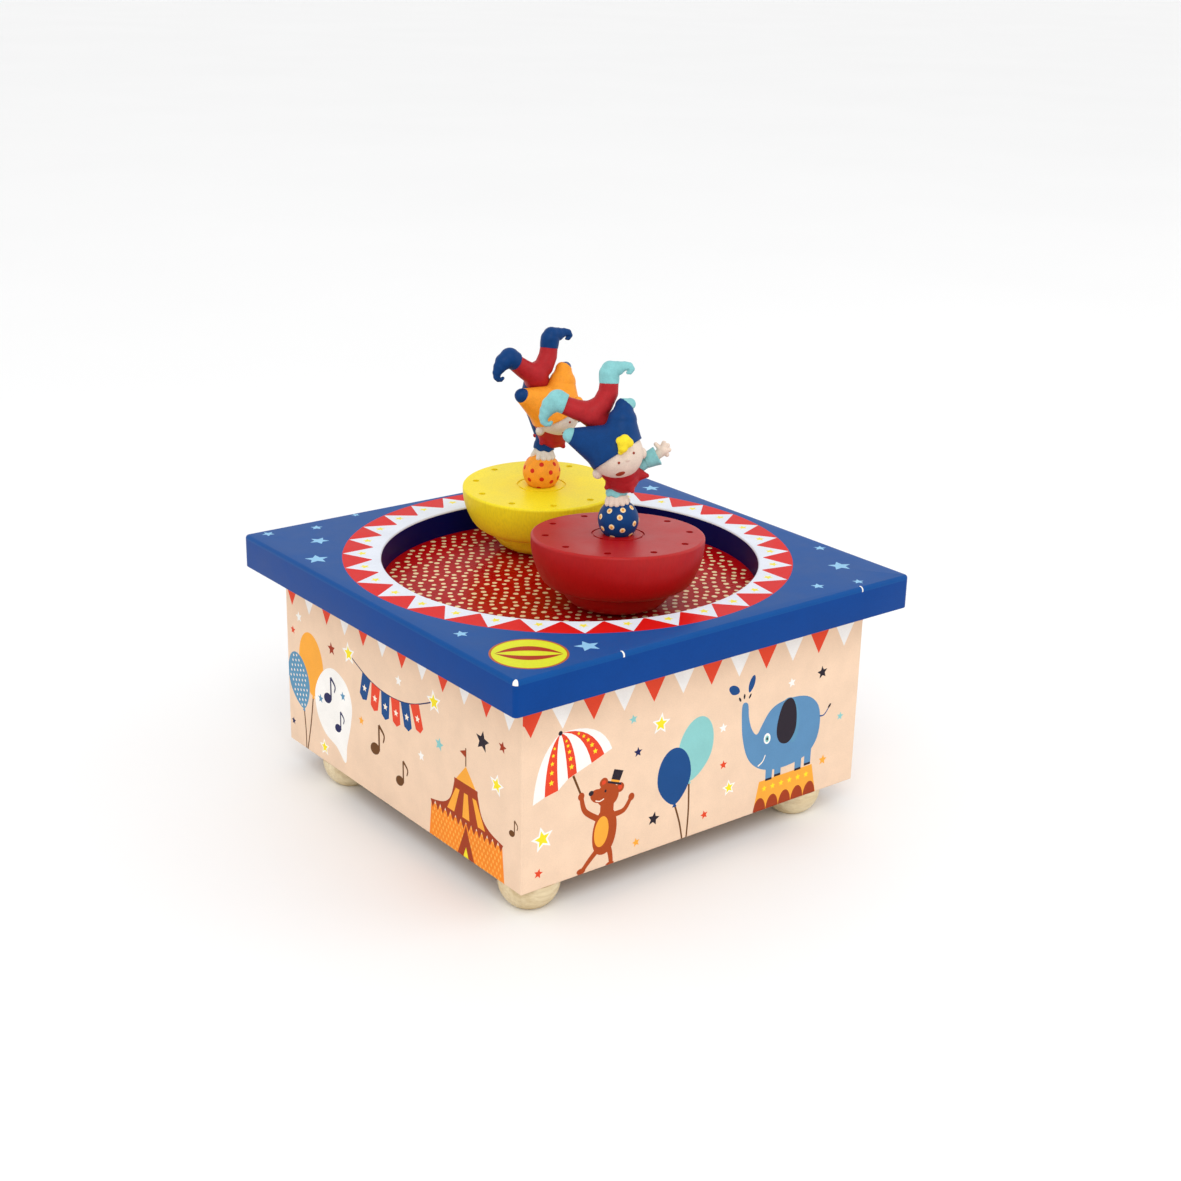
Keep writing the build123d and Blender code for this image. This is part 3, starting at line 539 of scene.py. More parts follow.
def tent(x, base, walls="deep_orange"):
    """A round circus tent with a flag, a striped roof and a dashed wall."""
    shapes = [
        ("line_brown", stroke([(x, base + 31), (x, base + 37)], 0.55, steps=1)),
        ("brick", [(x, base + 36.4), (x, base + 33.8), (x - 3.2, base + 35)]),
        (walls, [(x - 20.3, base - 2), (x + 20.3, base - 2), (x + 18.9, base + 12), (x - 18.9, base + 12)]),
    ]
    for row in range(8):
        for column in range(-10, 11):
            left = x + 1.9 * (column + 0.5 * (row % 2))
            low = base + 0.2 + 1.55 * row
            if abs(left - x) < 18.6:
                lozenge = [(left, low), (left + 0.42, low + 0.75),
                           (left, low + 1.5), (left - 0.42, low + 0.75)]
                shapes.append(("amber_dash", lozenge))
    for side in (-1, 1):
        curtain = [(x, base + 11.5), (x + side * 2.2, base + 6), (x + side * 5.6, base - 2), (x, base - 2)]
        shapes.append(("brick", rounded(curtain[:3], 4, closed=False) + [curtain[3]]))
    shapes.append(("yellow", [(x, base + 4.2), (x + 2.5, base - 2), (x - 2.5, base - 2)]))
    eaves = [(x + side * reach, base + up) for side, reach, up in
             ((-1, 6, 24.6), (-1, 8.2, 18), (-1, 12.4, 14.6), (-1, 19.7, 12.8))]
    left_slope = rounded(eaves, 4, closed=False)
    right_slope = [(2 * x - u, v) for u, v in reversed(left_slope)]
    teeth = []
    count = 14
    for k in range(2 * count + 1):
        share = k / (2 * count)
        teeth.append((x + 19.5 - 39.0 * share, base + (12.6 if k % 2 == 0 else 9.8) + 1.2 * abs(share - 0.5)))
    shapes.append(("brick", left_slope + teeth[::-1] + right_slope))
    for side in (-1, 0, 1):
        window = [(x + side * 4.4 - 1.0, base + 22), (x + side * 4.4 + 1.0, base + 22),
                  (x + side * 8.2 + 1.9, base + 13.6), (x + side * 8.2 - 1.9, base + 13.6)]
        shapes.append(("orange", window))
    shapes.append(("orange", [(x - 5.4, base + 25), (x + 5.4, base + 25), (x, base + 31)]))
    shapes.append(("brick", [(x - 6.2, base + 25.2), (x - 6.2, base + 22.6),
                             (x + 6.2, base + 22.6), (x + 6.2, base + 25.2)]))
    return shapes


def parasol(x, y):
    """A parasol seen from the side with its tip at x, y: seven gores between curved ribs."""
    tip = Vector((x, y))
    feet = ((-9.6, -20.3), (-5.4, -18.9), (-0.5, -18.0), (3.0, -15.3),
            (6.2, -14.2), (11.6, -12.5), (16.3, -10.8), (19.2, -9.8))
    gores = len(feet) - 1
    ribs = []
    for k, foot in enumerate(feet):
        bow = Vector((-8.5, -5.0)).lerp(Vector((15.0, 1.0)), k / gores)
        ribs.append([tip + bow * 2 * t * (1 - t) + Vector(foot) * t * t for t in (i / 8 for i in range(9))])
    stick = [tuple(tip + Vector((4.9, -14.8))), tuple(tip + Vector((8.0, -22.0)))]
    shapes = [("line_brown", stroke(stick, 0.8, 0.7, 1))]
    for k in range(gores):
        edge = [tuple(p) for p in ribs[k]] + [tuple(p) for p in reversed(ribs[k + 1])]
        shapes.append(("white" if k % 2 == 0 else "bunting_red", edge))
        if k % 2:
            for step in (3, 4, 5, 6, 7):
                middle = (ribs[k][step] + ribs[k + 1][step]) / 2
                shapes.append(("yellow", star(*middle, 0.28 + 0.1 * step)))
    shapes.append(("black", oval(*tip, 0.75, 0.75, 0, 12)))
    return shapes


def bear(x, y):
    """A small brown bear in a top hat that waves; x and y are the middle of its body."""
    shapes = []
    limbs = [
        ([(x - 3, y + 4.5), (x - 7.6, y + 8.2), (x - 9, y + 13)], 2.0, 1.5),
        ([(x + 3.2, y + 4), (x + 7.2, y + 4.4), (x + 9.6, y + 7.4)], 2.0, 1.4),
        ([(x - 2.4, y - 6), (x - 5.4, y - 8.6), (x - 8, y - 11.2)], 2.0, 1.5),
        ([(x + 1.6, y - 6), (x + 2.4, y - 9), (x + 2.8, y - 12.2)], 2.0, 1.5),
    ]
    for points, width, end_width in limbs:
        shapes.append(("brown", stroke(points, width, end_width)))
    for spot in ((x - 9.1, y + 13.4), (x + 10, y + 8)):
        shapes.append(("brown", oval(*spot, 1.2, 1.3, 0, 16)))
    for spot in ((x - 8.6, y - 11.4), (x + 2.4, y - 12.4)):
        shapes.append(("brown", oval(*spot, 1.7, 0.95, 0, 16)))
    shapes.append(("brown", oval(x, y - 0.5, 4.6, 7.8, -6, 32, egg=-0.15)))
    shapes.append(("orange", oval(x - 1.2, y - 0.4, 2.7, 5.0, -6, 28)))
    head = (x + 0.9, y + 11.2)
    shapes.append(("brown", stroke([(x + 0.6, y + 5), head], 5.2, 5.0, 2)))
    for spot in ((head[0] - 1.6, head[1] + 4.4), (head[0] + 4.6, head[1] + 1.2)):
        shapes.append(("brown", oval(*spot, 1.6, 1.6, 0, 18)))
        shapes.append(("star_red", oval(*spot, 0.8, 0.8, 0, 12)))
    shapes.append(("brown", oval(*head, 4.3, 3.9, -30, 32)))
    shapes.append(("brown", oval(head[0] - 3.6, head[1] + 0.6, 3.2, 2.2, -25, 24)))
    shapes.append(("black", oval(head[0] - 6.3, head[1] + 2.2, 0.95, 0.85, 0, 14)))
    shapes.append(("black", oval(head[0] - 0.9, head[1] + 1.5, 0.42, 0.5, 0, 10)))
    shapes.append(("cream", stroke([(head[0] - 4.6, head[1] - 0.7), (head[0] - 3, head[1] - 1.3),
                                    (head[0] - 1.4, head[1] - 0.9)], 0.35)))
    hat = Vector((head[0] + 2.5, head[1] + 3.2))
    up = Vector((0.36, 0.93))
    across = Vector((0.93, -0.36))
    shapes.append(("black", [tuple(hat + across * a + up * b) for a, b in
                             ((-1.7, 0), (1.7, 0), (1.9, 4.2), (-1.9, 4.2))]))
    shapes.append(("orange", [tuple(hat + across * a + up * b) for a, b in
                              ((-1.7, 0.3), (1.7, 0.3), (1.75, 1.0), (-1.75, 1.0))]))
    shapes.append(("black", stroke([tuple(hat - across * 2.8), tuple(hat + across * 2.8)], 0.7, steps=1)))
    return shapes


def elephant(x, y):
    """A blue elephant with its trunk up, standing on two legs' width; x and y are the middle of its belly."""
    body = [(-20.4, 15), (-18.1, 14.8), (-17.4, 10), (-15.9, 5.6), (-13.6, 3.2), (-11.4, 6.2), (-8.4, 10),
            (-4, 11.9), (3, 12.2), (9, 10.6), (13.2, 6.4), (14.3, 0), (12.8, -6), (8.4, -10), (0, -11.4),
            (-8, -10.6), (-13.6, -8), (-17.4, -3.6), (-19.6, 3), (-20.4, 9)]
    shapes = []
    for left, low in ((-7.4, -14.4), (-3.6, -13.9), (5.4, -14.3), (9.6, -13.6)):
        leg = [(x + left - 1.5, y - 8), (x + left + 1.5, y - 8),
               (x + left + 1.4, y + low), (x + left - 1.4, y + low)]
        shapes.append(("dusk_blue", leg))
        shapes.append(("black", [(x + left - 1.4, y + low + 0.8), (x + left + 1.4, y + low + 0.8),
                                 (x + left + 1.4, y + low), (x + left - 1.4, y + low)]))
    shapes.append(("dusk_blue", rounded([(x + a, y + b) for a, b in body], 4)))
    shapes.append(("sky", rounded([(x - 2.6, y + 11.4), (x + 1.6, y + 12), (x + 4.6, y + 6), (x + 4.4, y - 1),
                                   (x + 2, y - 3.6), (x - 1, y + 2)], 4)))
    ear = [(-4.6, 6), (-2.6, 11.2), (0.9, 12.2), (3.2, 8), (3.4, 1), (0.6, -3), (-3, -2.4), (-4.9, 1)]
    shapes.append(("black", rounded([(x + a, y + b) for a, b in ear], 4)))
    shapes.append(("white", oval(x - 9, y + 0.6, 1.45, 1.9, 10, 20)))
    shapes.append(("teal", oval(x - 9, y + 0.5, 0.85, 1.2, 10, 16)))
    shapes.append(("black", oval(x - 9, y + 0.5, 0.4, 0.6, 10, 12)))
    shapes.append(("cream", stroke([(x - 9.4, y - 5), (x - 10.4, y - 7), (x - 12.4, y - 8.2)], 0.4, 0.5)))
    shapes.append(("royal", stroke([(x + 14, y + 2.6), (x + 16, y + 2.6), (x + 18, y + 4.8)], 0.5, 0.4)))
    shapes.append(("black", oval(x + 18.2, y + 5.2, 0.45, 0.95, -40, 12)))
    for a, b, width, height, turn in ((-24.2, 20.8, 2.5, 1.5, -30), (-16.9, 21.3, 1.2, 2.9, -18)):
        shapes.append(("royal", oval(x + a, y + b, width, height, turn, 24, egg=0.3)))
    for a, b, turn in ((-21.6, 17.1, 30), (-19.8, 17.7, 0), (-17.4, 17.3, -30)):
        shapes.append(("black", oval(x + a, y + b, 0.4, 0.9, turn, 12)))
    return shapes


def podium(x, base, top):
    """A drum to stand on, with a row of stars and scallops."""
    shapes = [("orange", [(x - 14, base - 1), (x + 14.2, base - 1), (x + 11.6, top), (x - 11.7, top)])]
    for k in range(-2, 3):
        shapes.append(("brick", oval(x + 5.5 * k, base - 0.4, 2.75, 5.2, 0, 24)))
    for k in range(-3, 3):
        shapes.append(("yellow", star(x + 3.7 * (k + 0.5), top - 3.0, 1.15)))
    for side in (-1, 1):
        corner = [(x + side * 14.6, base - 1), (x + side * 17, base - 1), (x + side * 17, top + 1),
                  (x + side * 11.7, top + 1), (x + side * 11.7, top)]
        shapes.append(("peach", corner))
    return shapes


def plain_stars(rows):
    """Stars in one ink each; rows are (ink, x, y, size, turn)."""
    return [(name, star(x, y, size, turn)) for name, x, y, size, turn in rows]


body_low, body_high = node_box("front_panel")
panel_low, panel_high = body_low.z, body_high.z


def front_art():
    """The picture on the front panel."""
    shapes = bunting(-65.1, 11.35, 58.6, 69.0)
    shapes += parasol(-54.5, 57.4)
    shapes += bear(-37.4, 21.6)
    shapes += balloon("teal", -2.4, 38.7, 7.1, 10.6, -12, (-4.8, 8.2))
    shapes += balloon("royal", -10.6, 31.6, 6.7, 9.6, 3, (-6.4, 8.6))
    shapes += podium(37.0, 9.0, 19.7)
    shapes += elephant(36.8, 33.6)
    for x, y, size, turn in ((-60.5, 25.3, 4.2, 10), (-16.7, 50.7, 3.7, -6), (12.3, 21.4, 2.9, 6)):
        shapes += bordered_star(x, y, size, turn)
    shapes += plain_stars([
        ("star_red", -61.8, 14.4, 1.7, -14), ("star_red", 2.4, 14.8, 1.6, 12),
        ("star_red", 9.5, 30.0, 1.6, 0),
        ("teal", -27.5, 54.9, 1.6, 8), ("teal", 60.3, 33.8, 1.5, -10), ("night", -25.3, 43.7, 1.7, 0),
        ("black", -18.3, 19.5, 2.4, -12), ("black", 50.7, 51.5, 2.3, 6), ("orange", -25.0, 13.5, 1.6, 10),
        ("orange", 53.5, 19.9, 1.9, -6), ("white", 8.7, 42.8, 1.7, 0), ("white", 37.3, 51.1, 1.7, 10),
    ])
    return shapes


def left_art():
    """The picture on the left panel."""
    shapes = bunting(-63.6, 11.37, 59.2, 69.4)
    shapes += balloon("orange", -51.9, 41.6, 8.0, 11.2, 4, (-56.3, 8.2))
    shapes += balloon("sky", -60.4, 33.2, 6.9, 9.9, 16, (-56.8, 8.2), dots="cream")
    plume = [(-37.4, 44.9), (-44.5, 41.6), (-49.6, 33.6), (-48.6, 25.4), (-43.6, 19.8), (-36.4, 17.4),
             (-30.8, 13.6), (-29.6, 20.0), (-27.2, 27.6), (-26.0, 35.6), (-29.4, 42.2)]
    shapes.append(("white", rounded(plume, 5)))
    shapes += music_note(-41.5, 33.2, 8.0, "night")
    shapes += music_note(-35.2, 24.6, 6.4, "night")
    shapes += plain_stars([("sky", -46.2, 31.4, 1.7, 0), ("sky", -31.6, 37.2, 1.7, 12)])
    shapes += pennant_string(((-27.3, 53.7), (22.5, 54.4)), 6.6, 6, ("royal", "bunting_red"))
    shapes += tent(39.6, 8.6)
    shapes += bordered_star(-44.4, 14.3, 3.2, 5)
    shapes += bordered_star(55.5, 39.8, 3.7, -8)
    shapes += plain_stars([
        ("white", -59.3, 56.3, 2.0, 10), ("star_red", -63.6, 50.4, 1.6, 0), ("dark_red", -38.2, 51.7, 2.4, 8),
        ("dark_red", 58.3, 52.9, 2.0, -8), ("orange", -20.2, 32.8, 1.7, 0), ("night", -65.2, 16.5, 1.5, 0),
        ("white", 2.6, 54.5, 1.9, 0), ("white", 15.2, 33.8, 1.8, 12), ("teal", 25.3, 41.5, 2.3, -8),
        ("black", 48.2, 51.0, 3.5, -6),
    ])
    shapes += music_note(-12.0, 26.0, 9.0)
    shapes += music_note(2.6, 20.4, 7.5)
    shapes += music_note(63.2, 27.4, 4.6)
    return shapes


def right_art():
    """The picture on the right panel."""
    shapes = bunting(-62.5, 11.36, 58.8, 69.0)
    shapes += tent(-38.0, 8.6, "orange")
    shapes += balloon("bunting_red", 7.6, 42.4, 7.2, 10.6, -10, (6.0, 9.0))
    shapes += balloon("sky", -1.6, 34.4, 6.6, 9.6, 8, (4.6, 9.4), dots="cream")
    shapes += podium(41.0, 9.0, 19.7)
    shapes += [("royal", oval(41.0, 30.6, 10.8, 10.8, 0, 44)), ("yellow", oval(41.0, 30.6, 3.6, 10.8, 0, 36)),
               ("bunting_red", oval(41.0, 30.6, 1.2, 10.8, 0, 30))]
    for x, y, size, turn in ((-58.6, 50.0, 3.8, 8), (22.4, 52.0, 4.0, -8),
                             (60.2, 44.6, 3.2, 4), (19.4, 21.0, 3.0, 0)):
        shapes += bordered_star(x, y, size, turn)
    shapes += plain_stars([
        ("star_red", -14.4, 52.6, 1.7, 0), ("teal", -20.6, 46.2, 2.0, 8), ("black", 33.0, 50.0, 2.4, 0),
        ("orange", 27.4, 34.8, 1.8, -8), ("night", -62.6, 30.0, 1.7, 0), ("white", 48.4, 52.4, 1.9, 0),
        ("dark_red", 60.8, 26.0, 2.0, 10), ("white", -10.8, 18.6, 1.8, 0), ("orange", 61.6, 14.0, 1.7, 0),
    ])
    shapes += music_note(-12.8, 34.0, 8.0)
    return shapes


def back_art():
    """The picture on the back panel."""
    shapes = bunting(-63.0, 11.36, 58.9, 69.0)
    shapes += parasol(-48.0, 50.0)
    shapes += pennant_string(((-14.0, 54.4), (34.0, 53.8)), 6.4, 6, ("bunting_red", "royal"))
    shapes += podium(6.0, 9.0, 19.7)
    shapes += elephant(6.0, 33.6)
    shapes += balloon("orange", 50.6, 40.4, 7.6, 11.0, -8, (47.8, 9.0))
    shapes += balloon("teal", 41.6, 32.4, 6.6, 9.6, 6, (46.6, 9.0))
    for x, y, size, turn in ((-24.8, 20.4, 3.6, 6), (61.6, 54.0, 3.2, -6), (31.4, 17.8, 3.0, 0)):
        shapes += bordered_star(x, y, size, turn)
    shapes += plain_stars([
        ("star_red", -24.6, 50.2, 1.7, 0), ("black", -61.4, 24.6, 2.4, 8), ("teal", -56.6, 14.0, 1.9, 0),
        ("night", -33.4, 29.4, 1.7, 0), ("orange", -31.6, 12.4, 1.8, 8), ("white", -62.6, 56.2, 1.9, 0),
        ("dark_red", 62.2, 27.6, 2.0, 0), ("white", 60.4, 14.2, 1.8, 0), ("sky", 30.8, 40.8, 1.8, 0),
    ])
    return shapes


# ---------------------------------------------------------------- the four printed panels
def inset(depth, radius):
    """How far a rounded edge stands back at that depth below the face."""
    return radius - math.sqrt(max(0.0, radius ** 2 - (radius - min(depth, radius)) ** 2))


def printed_panel(node, turn, shapes):
    """One wall: a printed outer face, softened edges, mitred ends and a plain inner face."""
    half = body_high.x
    wall = body_high.y - body_low.y
    middle = (panel_low + panel_high) / 2
    half_height = (panel_high - panel_low) / 2
    corner, edge, print_wraps = 0.7, 0.5, 0.4
    flat_u, flat_v = half - corner, half_height - edge
    outline = [(-flat_u, middle - flat_v), (flat_u, middle - flat_v),
               (flat_u, middle + flat_v), (-flat_u, middle + flat_v)]
    points, triangles, loops = drawn_face(outline, shapes, "peach")
    c, s = math.cos(math.radians(turn)), math.sin(math.radians(turn))
    shell = Shell()

    def place(u, v, depth):
        x, y = u, -(half - depth)
        return (c * x - s * y, s * x + c * y, v)

    shell.printed(points, triangles, lambda p: place(p.x, p.y, 0.0))
    loop = [v for v, name in loops[0]]
    names = [name for v, name in loops[0]]
    last = loop
    mitre_starts = corner * (1 - math.sqrt(0.5))
    for depth in (0.03, 0.09, mitre_starts, 0.35, 0.5, wall):
        back_u = inset(depth, corner) if depth <= mitre_starts else depth
        back_v = inset(depth, edge)
        across = (half - back_u) / flat_u
        up = (half_height - back_v) / flat_v
        ring = [shell.point(place(points[v].x * across, middle + (points[v].y - middle) * up, depth))
                for v in loop]
        last = shell.band(last, ring, names if depth < print_wraps else ["raw_board"] * len(loop))
    shell.face(last, "raw_board")
    piece = shell.build(node + "_printed", "case")
    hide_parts(node)


for node, turn, shapes in (("front_panel", 0, front_art()), ("right_panel", 90, right_art()),
                           ("back_panel", 180, back_art()), ("left_panel", 270, left_art())):
    printed_panel(node, turn, shapes)


# ---------------------------------------------------------------- the lid
lid_low, lid_high = node_box("lid")
floor_low, floor_high = node_box("well_floor")
well_radius = 61.3
ring_centre = Vector((0.5, 1.8))
ring_inner, ring_outer = 63.9, 73.3
ring_flags = 32


def ring_art():
    """The band of flags round the well: red between white triangles whose tips point outwards."""
    pitch = 2 * math.pi / ring_flags
    start = math.radians(-89.5)
    overlap, border, star_stands_off, star_size = 0.4, 0.2, 3.0, 1.75
    shapes = [("ring_red", oval(*ring_centre, ring_outer, ring_outer, 0, 124)),
              ("ring_white", oval(*ring_centre, ring_inner, ring_inner, 0, 124))]
    for k in range(ring_flags):
        middle = start + pitch * k
        corners = [(ring_inner - overlap, middle - pitch / 2), (ring_inner - overlap, middle + pitch / 2),
                   (ring_outer - border, middle)]
        shapes.append(("ring_white", [tuple(ring_centre + Vector((math.cos(a), math.sin(a))) * r)
                                      for r, a in corners]))
        spot = ring_centre + Vector((math.cos(middle), math.sin(middle))) * (ring_inner + star_stands_off)
        shapes.append(("ring_star", star(*spot, star_size, math.degrees(middle) - 90)))
    return shapes


def striped_ball(x, y, size, turn):
    """A beach ball printed in a corner of the lid: two lens-shaped stripes on lime."""
    way = Vector((math.cos(math.radians(turn)), math.sin(math.radians(turn))))
    side = Vector((-way.y, way.x))
    rim, stripe_margin = 0.7, 1.6
    shapes = [("ball_edge", oval(x, y, size, size, 0, 48)),
              ("ball_lime", oval(x, y, size - rim, size - rim, 0, 48))]
    reach = size - stripe_margin
    for inner, outer in ((0.20, 0.50), (-0.42, -0.14)):
        lens = []
        for k in range(17):
            t = -1 + k / 8
            lens.append(Vector((x, y)) + way * reach * t + side * size * outer * (1 - t * t))
        for k in range(15, 0, -1):
            t = -1 + k / 8
            lens.append(Vector((x, y)) + way * reach * t + side * size * inner * (1 - t * t))
        shapes.append(("ball_stripe", [tuple(p) for p in lens]))
    return shapes


def chip(x, y, size, seed):
    """A small knock in the paint with an uneven outline."""
    corners = []
    count = 9
    for k in range(count):
        angle = 2 * math.pi * k / count
        reach = size * (0.75 + 0.35 * math.sin(seed + 2.3 * k) * math.cos(1.7 * k + seed))
        corners.append((x + reach * math.cos(angle), y + reach * math.sin(angle)))
    return ("chip", corners)


def lid_art():
    """The picture on the lid."""
    shapes = ring_art()
    shapes += striped_ball(-62.3, -62.9, 11.4, -35)
    shapes += striped_ball(62.6, 62.6, 11.4, -35)
    shapes += [("lid_star", star(x, y, size, turn)) for x, y, size, turn in (
        (-70.7, 73.3, 2.3, 10), (-35.9, 75.2, 1.6, 0), (-70.3, 41.8, 4.0, 50), (-69.4, -39.3, 2.4, 50),
        (-45.1, -67.7, 4.0, 58), (65.1, -58.6, 4.0, 45), (45.5, -68.5, 2.3, 40), (59.1, -72.7, 2.0, 40),
        (70.0, 43.2, 3.4, 40), (44.8, 69.0, 3.8, 30), (72.6, -41.8, 2.2, 30), (-54.0, 70.4, 2.2, 45),
        (-60.4, 57.6, 3.4, 20), (36.0, 75.0, 1.7, 0), (73.6, 73.8, 1.9, 0),
    )]
    shapes += [chip(-76.4, -76.4, 0.36, 0.3), chip(-39.6, -76.3, 0.42, 1.1), chip(56.4, -76.3, 0.42, 2.6)]
    return shapes


def lid_shell():
    """The printed lid: rounded rims, the round well through it, and the rebate that takes the floor."""
    half = lid_high.x
    corner, rim, well_rim, lower_rim = 1.5, 1.1, 0.6, 0.3
    print_overhang, white_lip, rebate_play = 0.4, 1.0, 0.1
    straight = half - corner
    flat = half - rim
    outline = []
    for quarter in range(4):
        sign = ((1, 1), (-1, 1), (-1, -1), (1, -1))[quarter]
        centre = Vector((straight * sign[0], straight * sign[1]))
        for k in range(5):
            angle = math.radians(90 * quarter + 22.5 * k)
            outline.append(tuple(centre + Vector((math.cos(angle), math.sin(angle))) * (flat - straight)))
    hole = oval(0, 0, well_radius + well_rim, well_radius + well_rim, 0, 144)
    points, triangles, loops = drawn_face(outline, lid_art(), "lid_blue", [hole])
    shell = Shell()
    shell.printed(points, triangles, lambda p: (p.x, p.y, lid_high.z))

    def outward(v):
        p = points[v]
        inner = Vector((max(-straight, min(straight, p.x)), max(-straight, min(straight, p.y))))
        return (p - inner).normalized()

    def rings(loop, levels, place):
        """Bands below a border loop; levels are (radius, height, ink or None for the print's own)."""
        last = [v for v, name in loop]
        for offset, height, ink_name in levels:
            ring = [shell.point((*place(v, offset), height)) for v, name in loop]
            last = shell.band(last, ring, [ink_name or name for v, name in loop])
        return last

    turns = [math.radians(15 * k) for k in range(1, 7)]
    outer_levels = [(rim * math.sin(t), lid_high.z - rim * (1 - math.cos(t)), None) for t in turns]
    outer_levels.append((rim, lid_high.z - rim - print_overhang, None))
    outer_levels.append((rim, lid_low.z + lower_rim, "lid_side"))
    for t in (math.radians(30), math.radians(60), math.radians(90)):
        outer_levels.append((rim - lower_rim * (1 - math.cos(t)),
                             lid_low.z + lower_rim * (1 - math.sin(t)), "lid_side"))

    def square_place(v, offset):
        return points[v] + outward(v) * offset

    def round_place(v, radius):
        return points[v].normalized() * radius

    outer = rings(loops[0], outer_levels, square_place)
    inner_levels = [(well_radius + well_rim * (1 - math.sin(t)),
                     lid_high.z - well_rim * (1 - math.cos(t)), "ring_white") for t in turns]
    inner_levels.append((well_radius, lid_high.z - well_rim - white_lip, "well_wall"))
    inner_levels.append((well_radius, floor_high.z, "well_wall"))
    rebate = floor_high.x + rebate_play
    inner_levels.append((rebate, floor_high.z, "raw_board"))
    inner_levels.append((rebate, lid_low.z, "raw_board"))
    inner = rings(loops[1], inner_levels, round_place)

    edge = [tuple(shell.points[v].xy) for v in outer]
    bore = [tuple(shell.points[v].xy) for v in inner]
    under, cells, _ = drawn_face(edge, [], "raw_board", [bore])
    known = {(round(shell.points[v].x, 3), round(shell.points[v].y, 3)): v for v in outer + inner}
    numbers = [known[(round(p.x, 3), round(p.y, 3))] for p in under]
    for cell, name in cells:
        shell.face([numbers[v] for v in reversed(cell)], name)
    piece = shell.build("lid_printed", "case", sharp=40)
    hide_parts("lid")


lid_shell()


# ---------------------------------------------------------------- the dance floor
lean_heading = math.radians(51.75)


def floor_dots():
    """Cream dots in wavy rows, as if scattered by hand along a grid."""
    shapes = []
    ahead = Vector((math.cos(lean_heading), math.sin(lean_heading)))
    across_pitch, ahead_pitch, rows_each_way, margin = 3.4, 3.5, 18, 1.2
    across = Vector((-ahead.y, ahead.x))
    for column in range(-rows_each_way, rows_each_way + 1):
        for row in range(-rows_each_way, rows_each_way + 1):
            wave = 0.55 * math.sin(row * 1.5 + column * 0.8) + 0.3 * math.sin(column * 1.9 + row * 2.3)
            shift = 0.5 * (column % 2) + 0.14 * math.sin(column * 2.7 + row * 1.3)
            spot = across * (across_pitch * column + wave) + ahead * ahead_pitch * (row + shift)
            if spot.length < well_radius - margin:
                size = 0.88 + 0.1 * math.sin(5.1 * column + 3.7 * row)
                shapes.append(("floor_dot", oval(*spot, size, size, 10 * column, 10)))
    return shapes


def floor_shell():
    """The dotted disc at the bottom of the well, with softened edges."""
    radius = floor_high.x
    edge = 0.15
    outline = oval(0, 0, radius - edge, radius - edge, 0, 128)
    points, triangles, loops = drawn_face(outline, floor_dots(), "floor_red")
    shell = Shell()
    shell.printed(points, triangles, lambda p: (p.x, p.y, floor_high.z))
    loop = [v for v, name in loops[0]]
    last = loop
    for reach, height in ((radius, floor_high.z - edge), (radius, floor_low.z + edge),
                          (radius - edge, floor_low.z)):
        ring = [shell.point((*(points[v].normalized() * reach), height)) for v in loop]
        last = shell.band(last, ring, ["raw_board"] * len(loop))
    shell.face(last, "raw_board")
    piece = shell.build("dance_floor", "case")
    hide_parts("well_floor")


floor_shell()


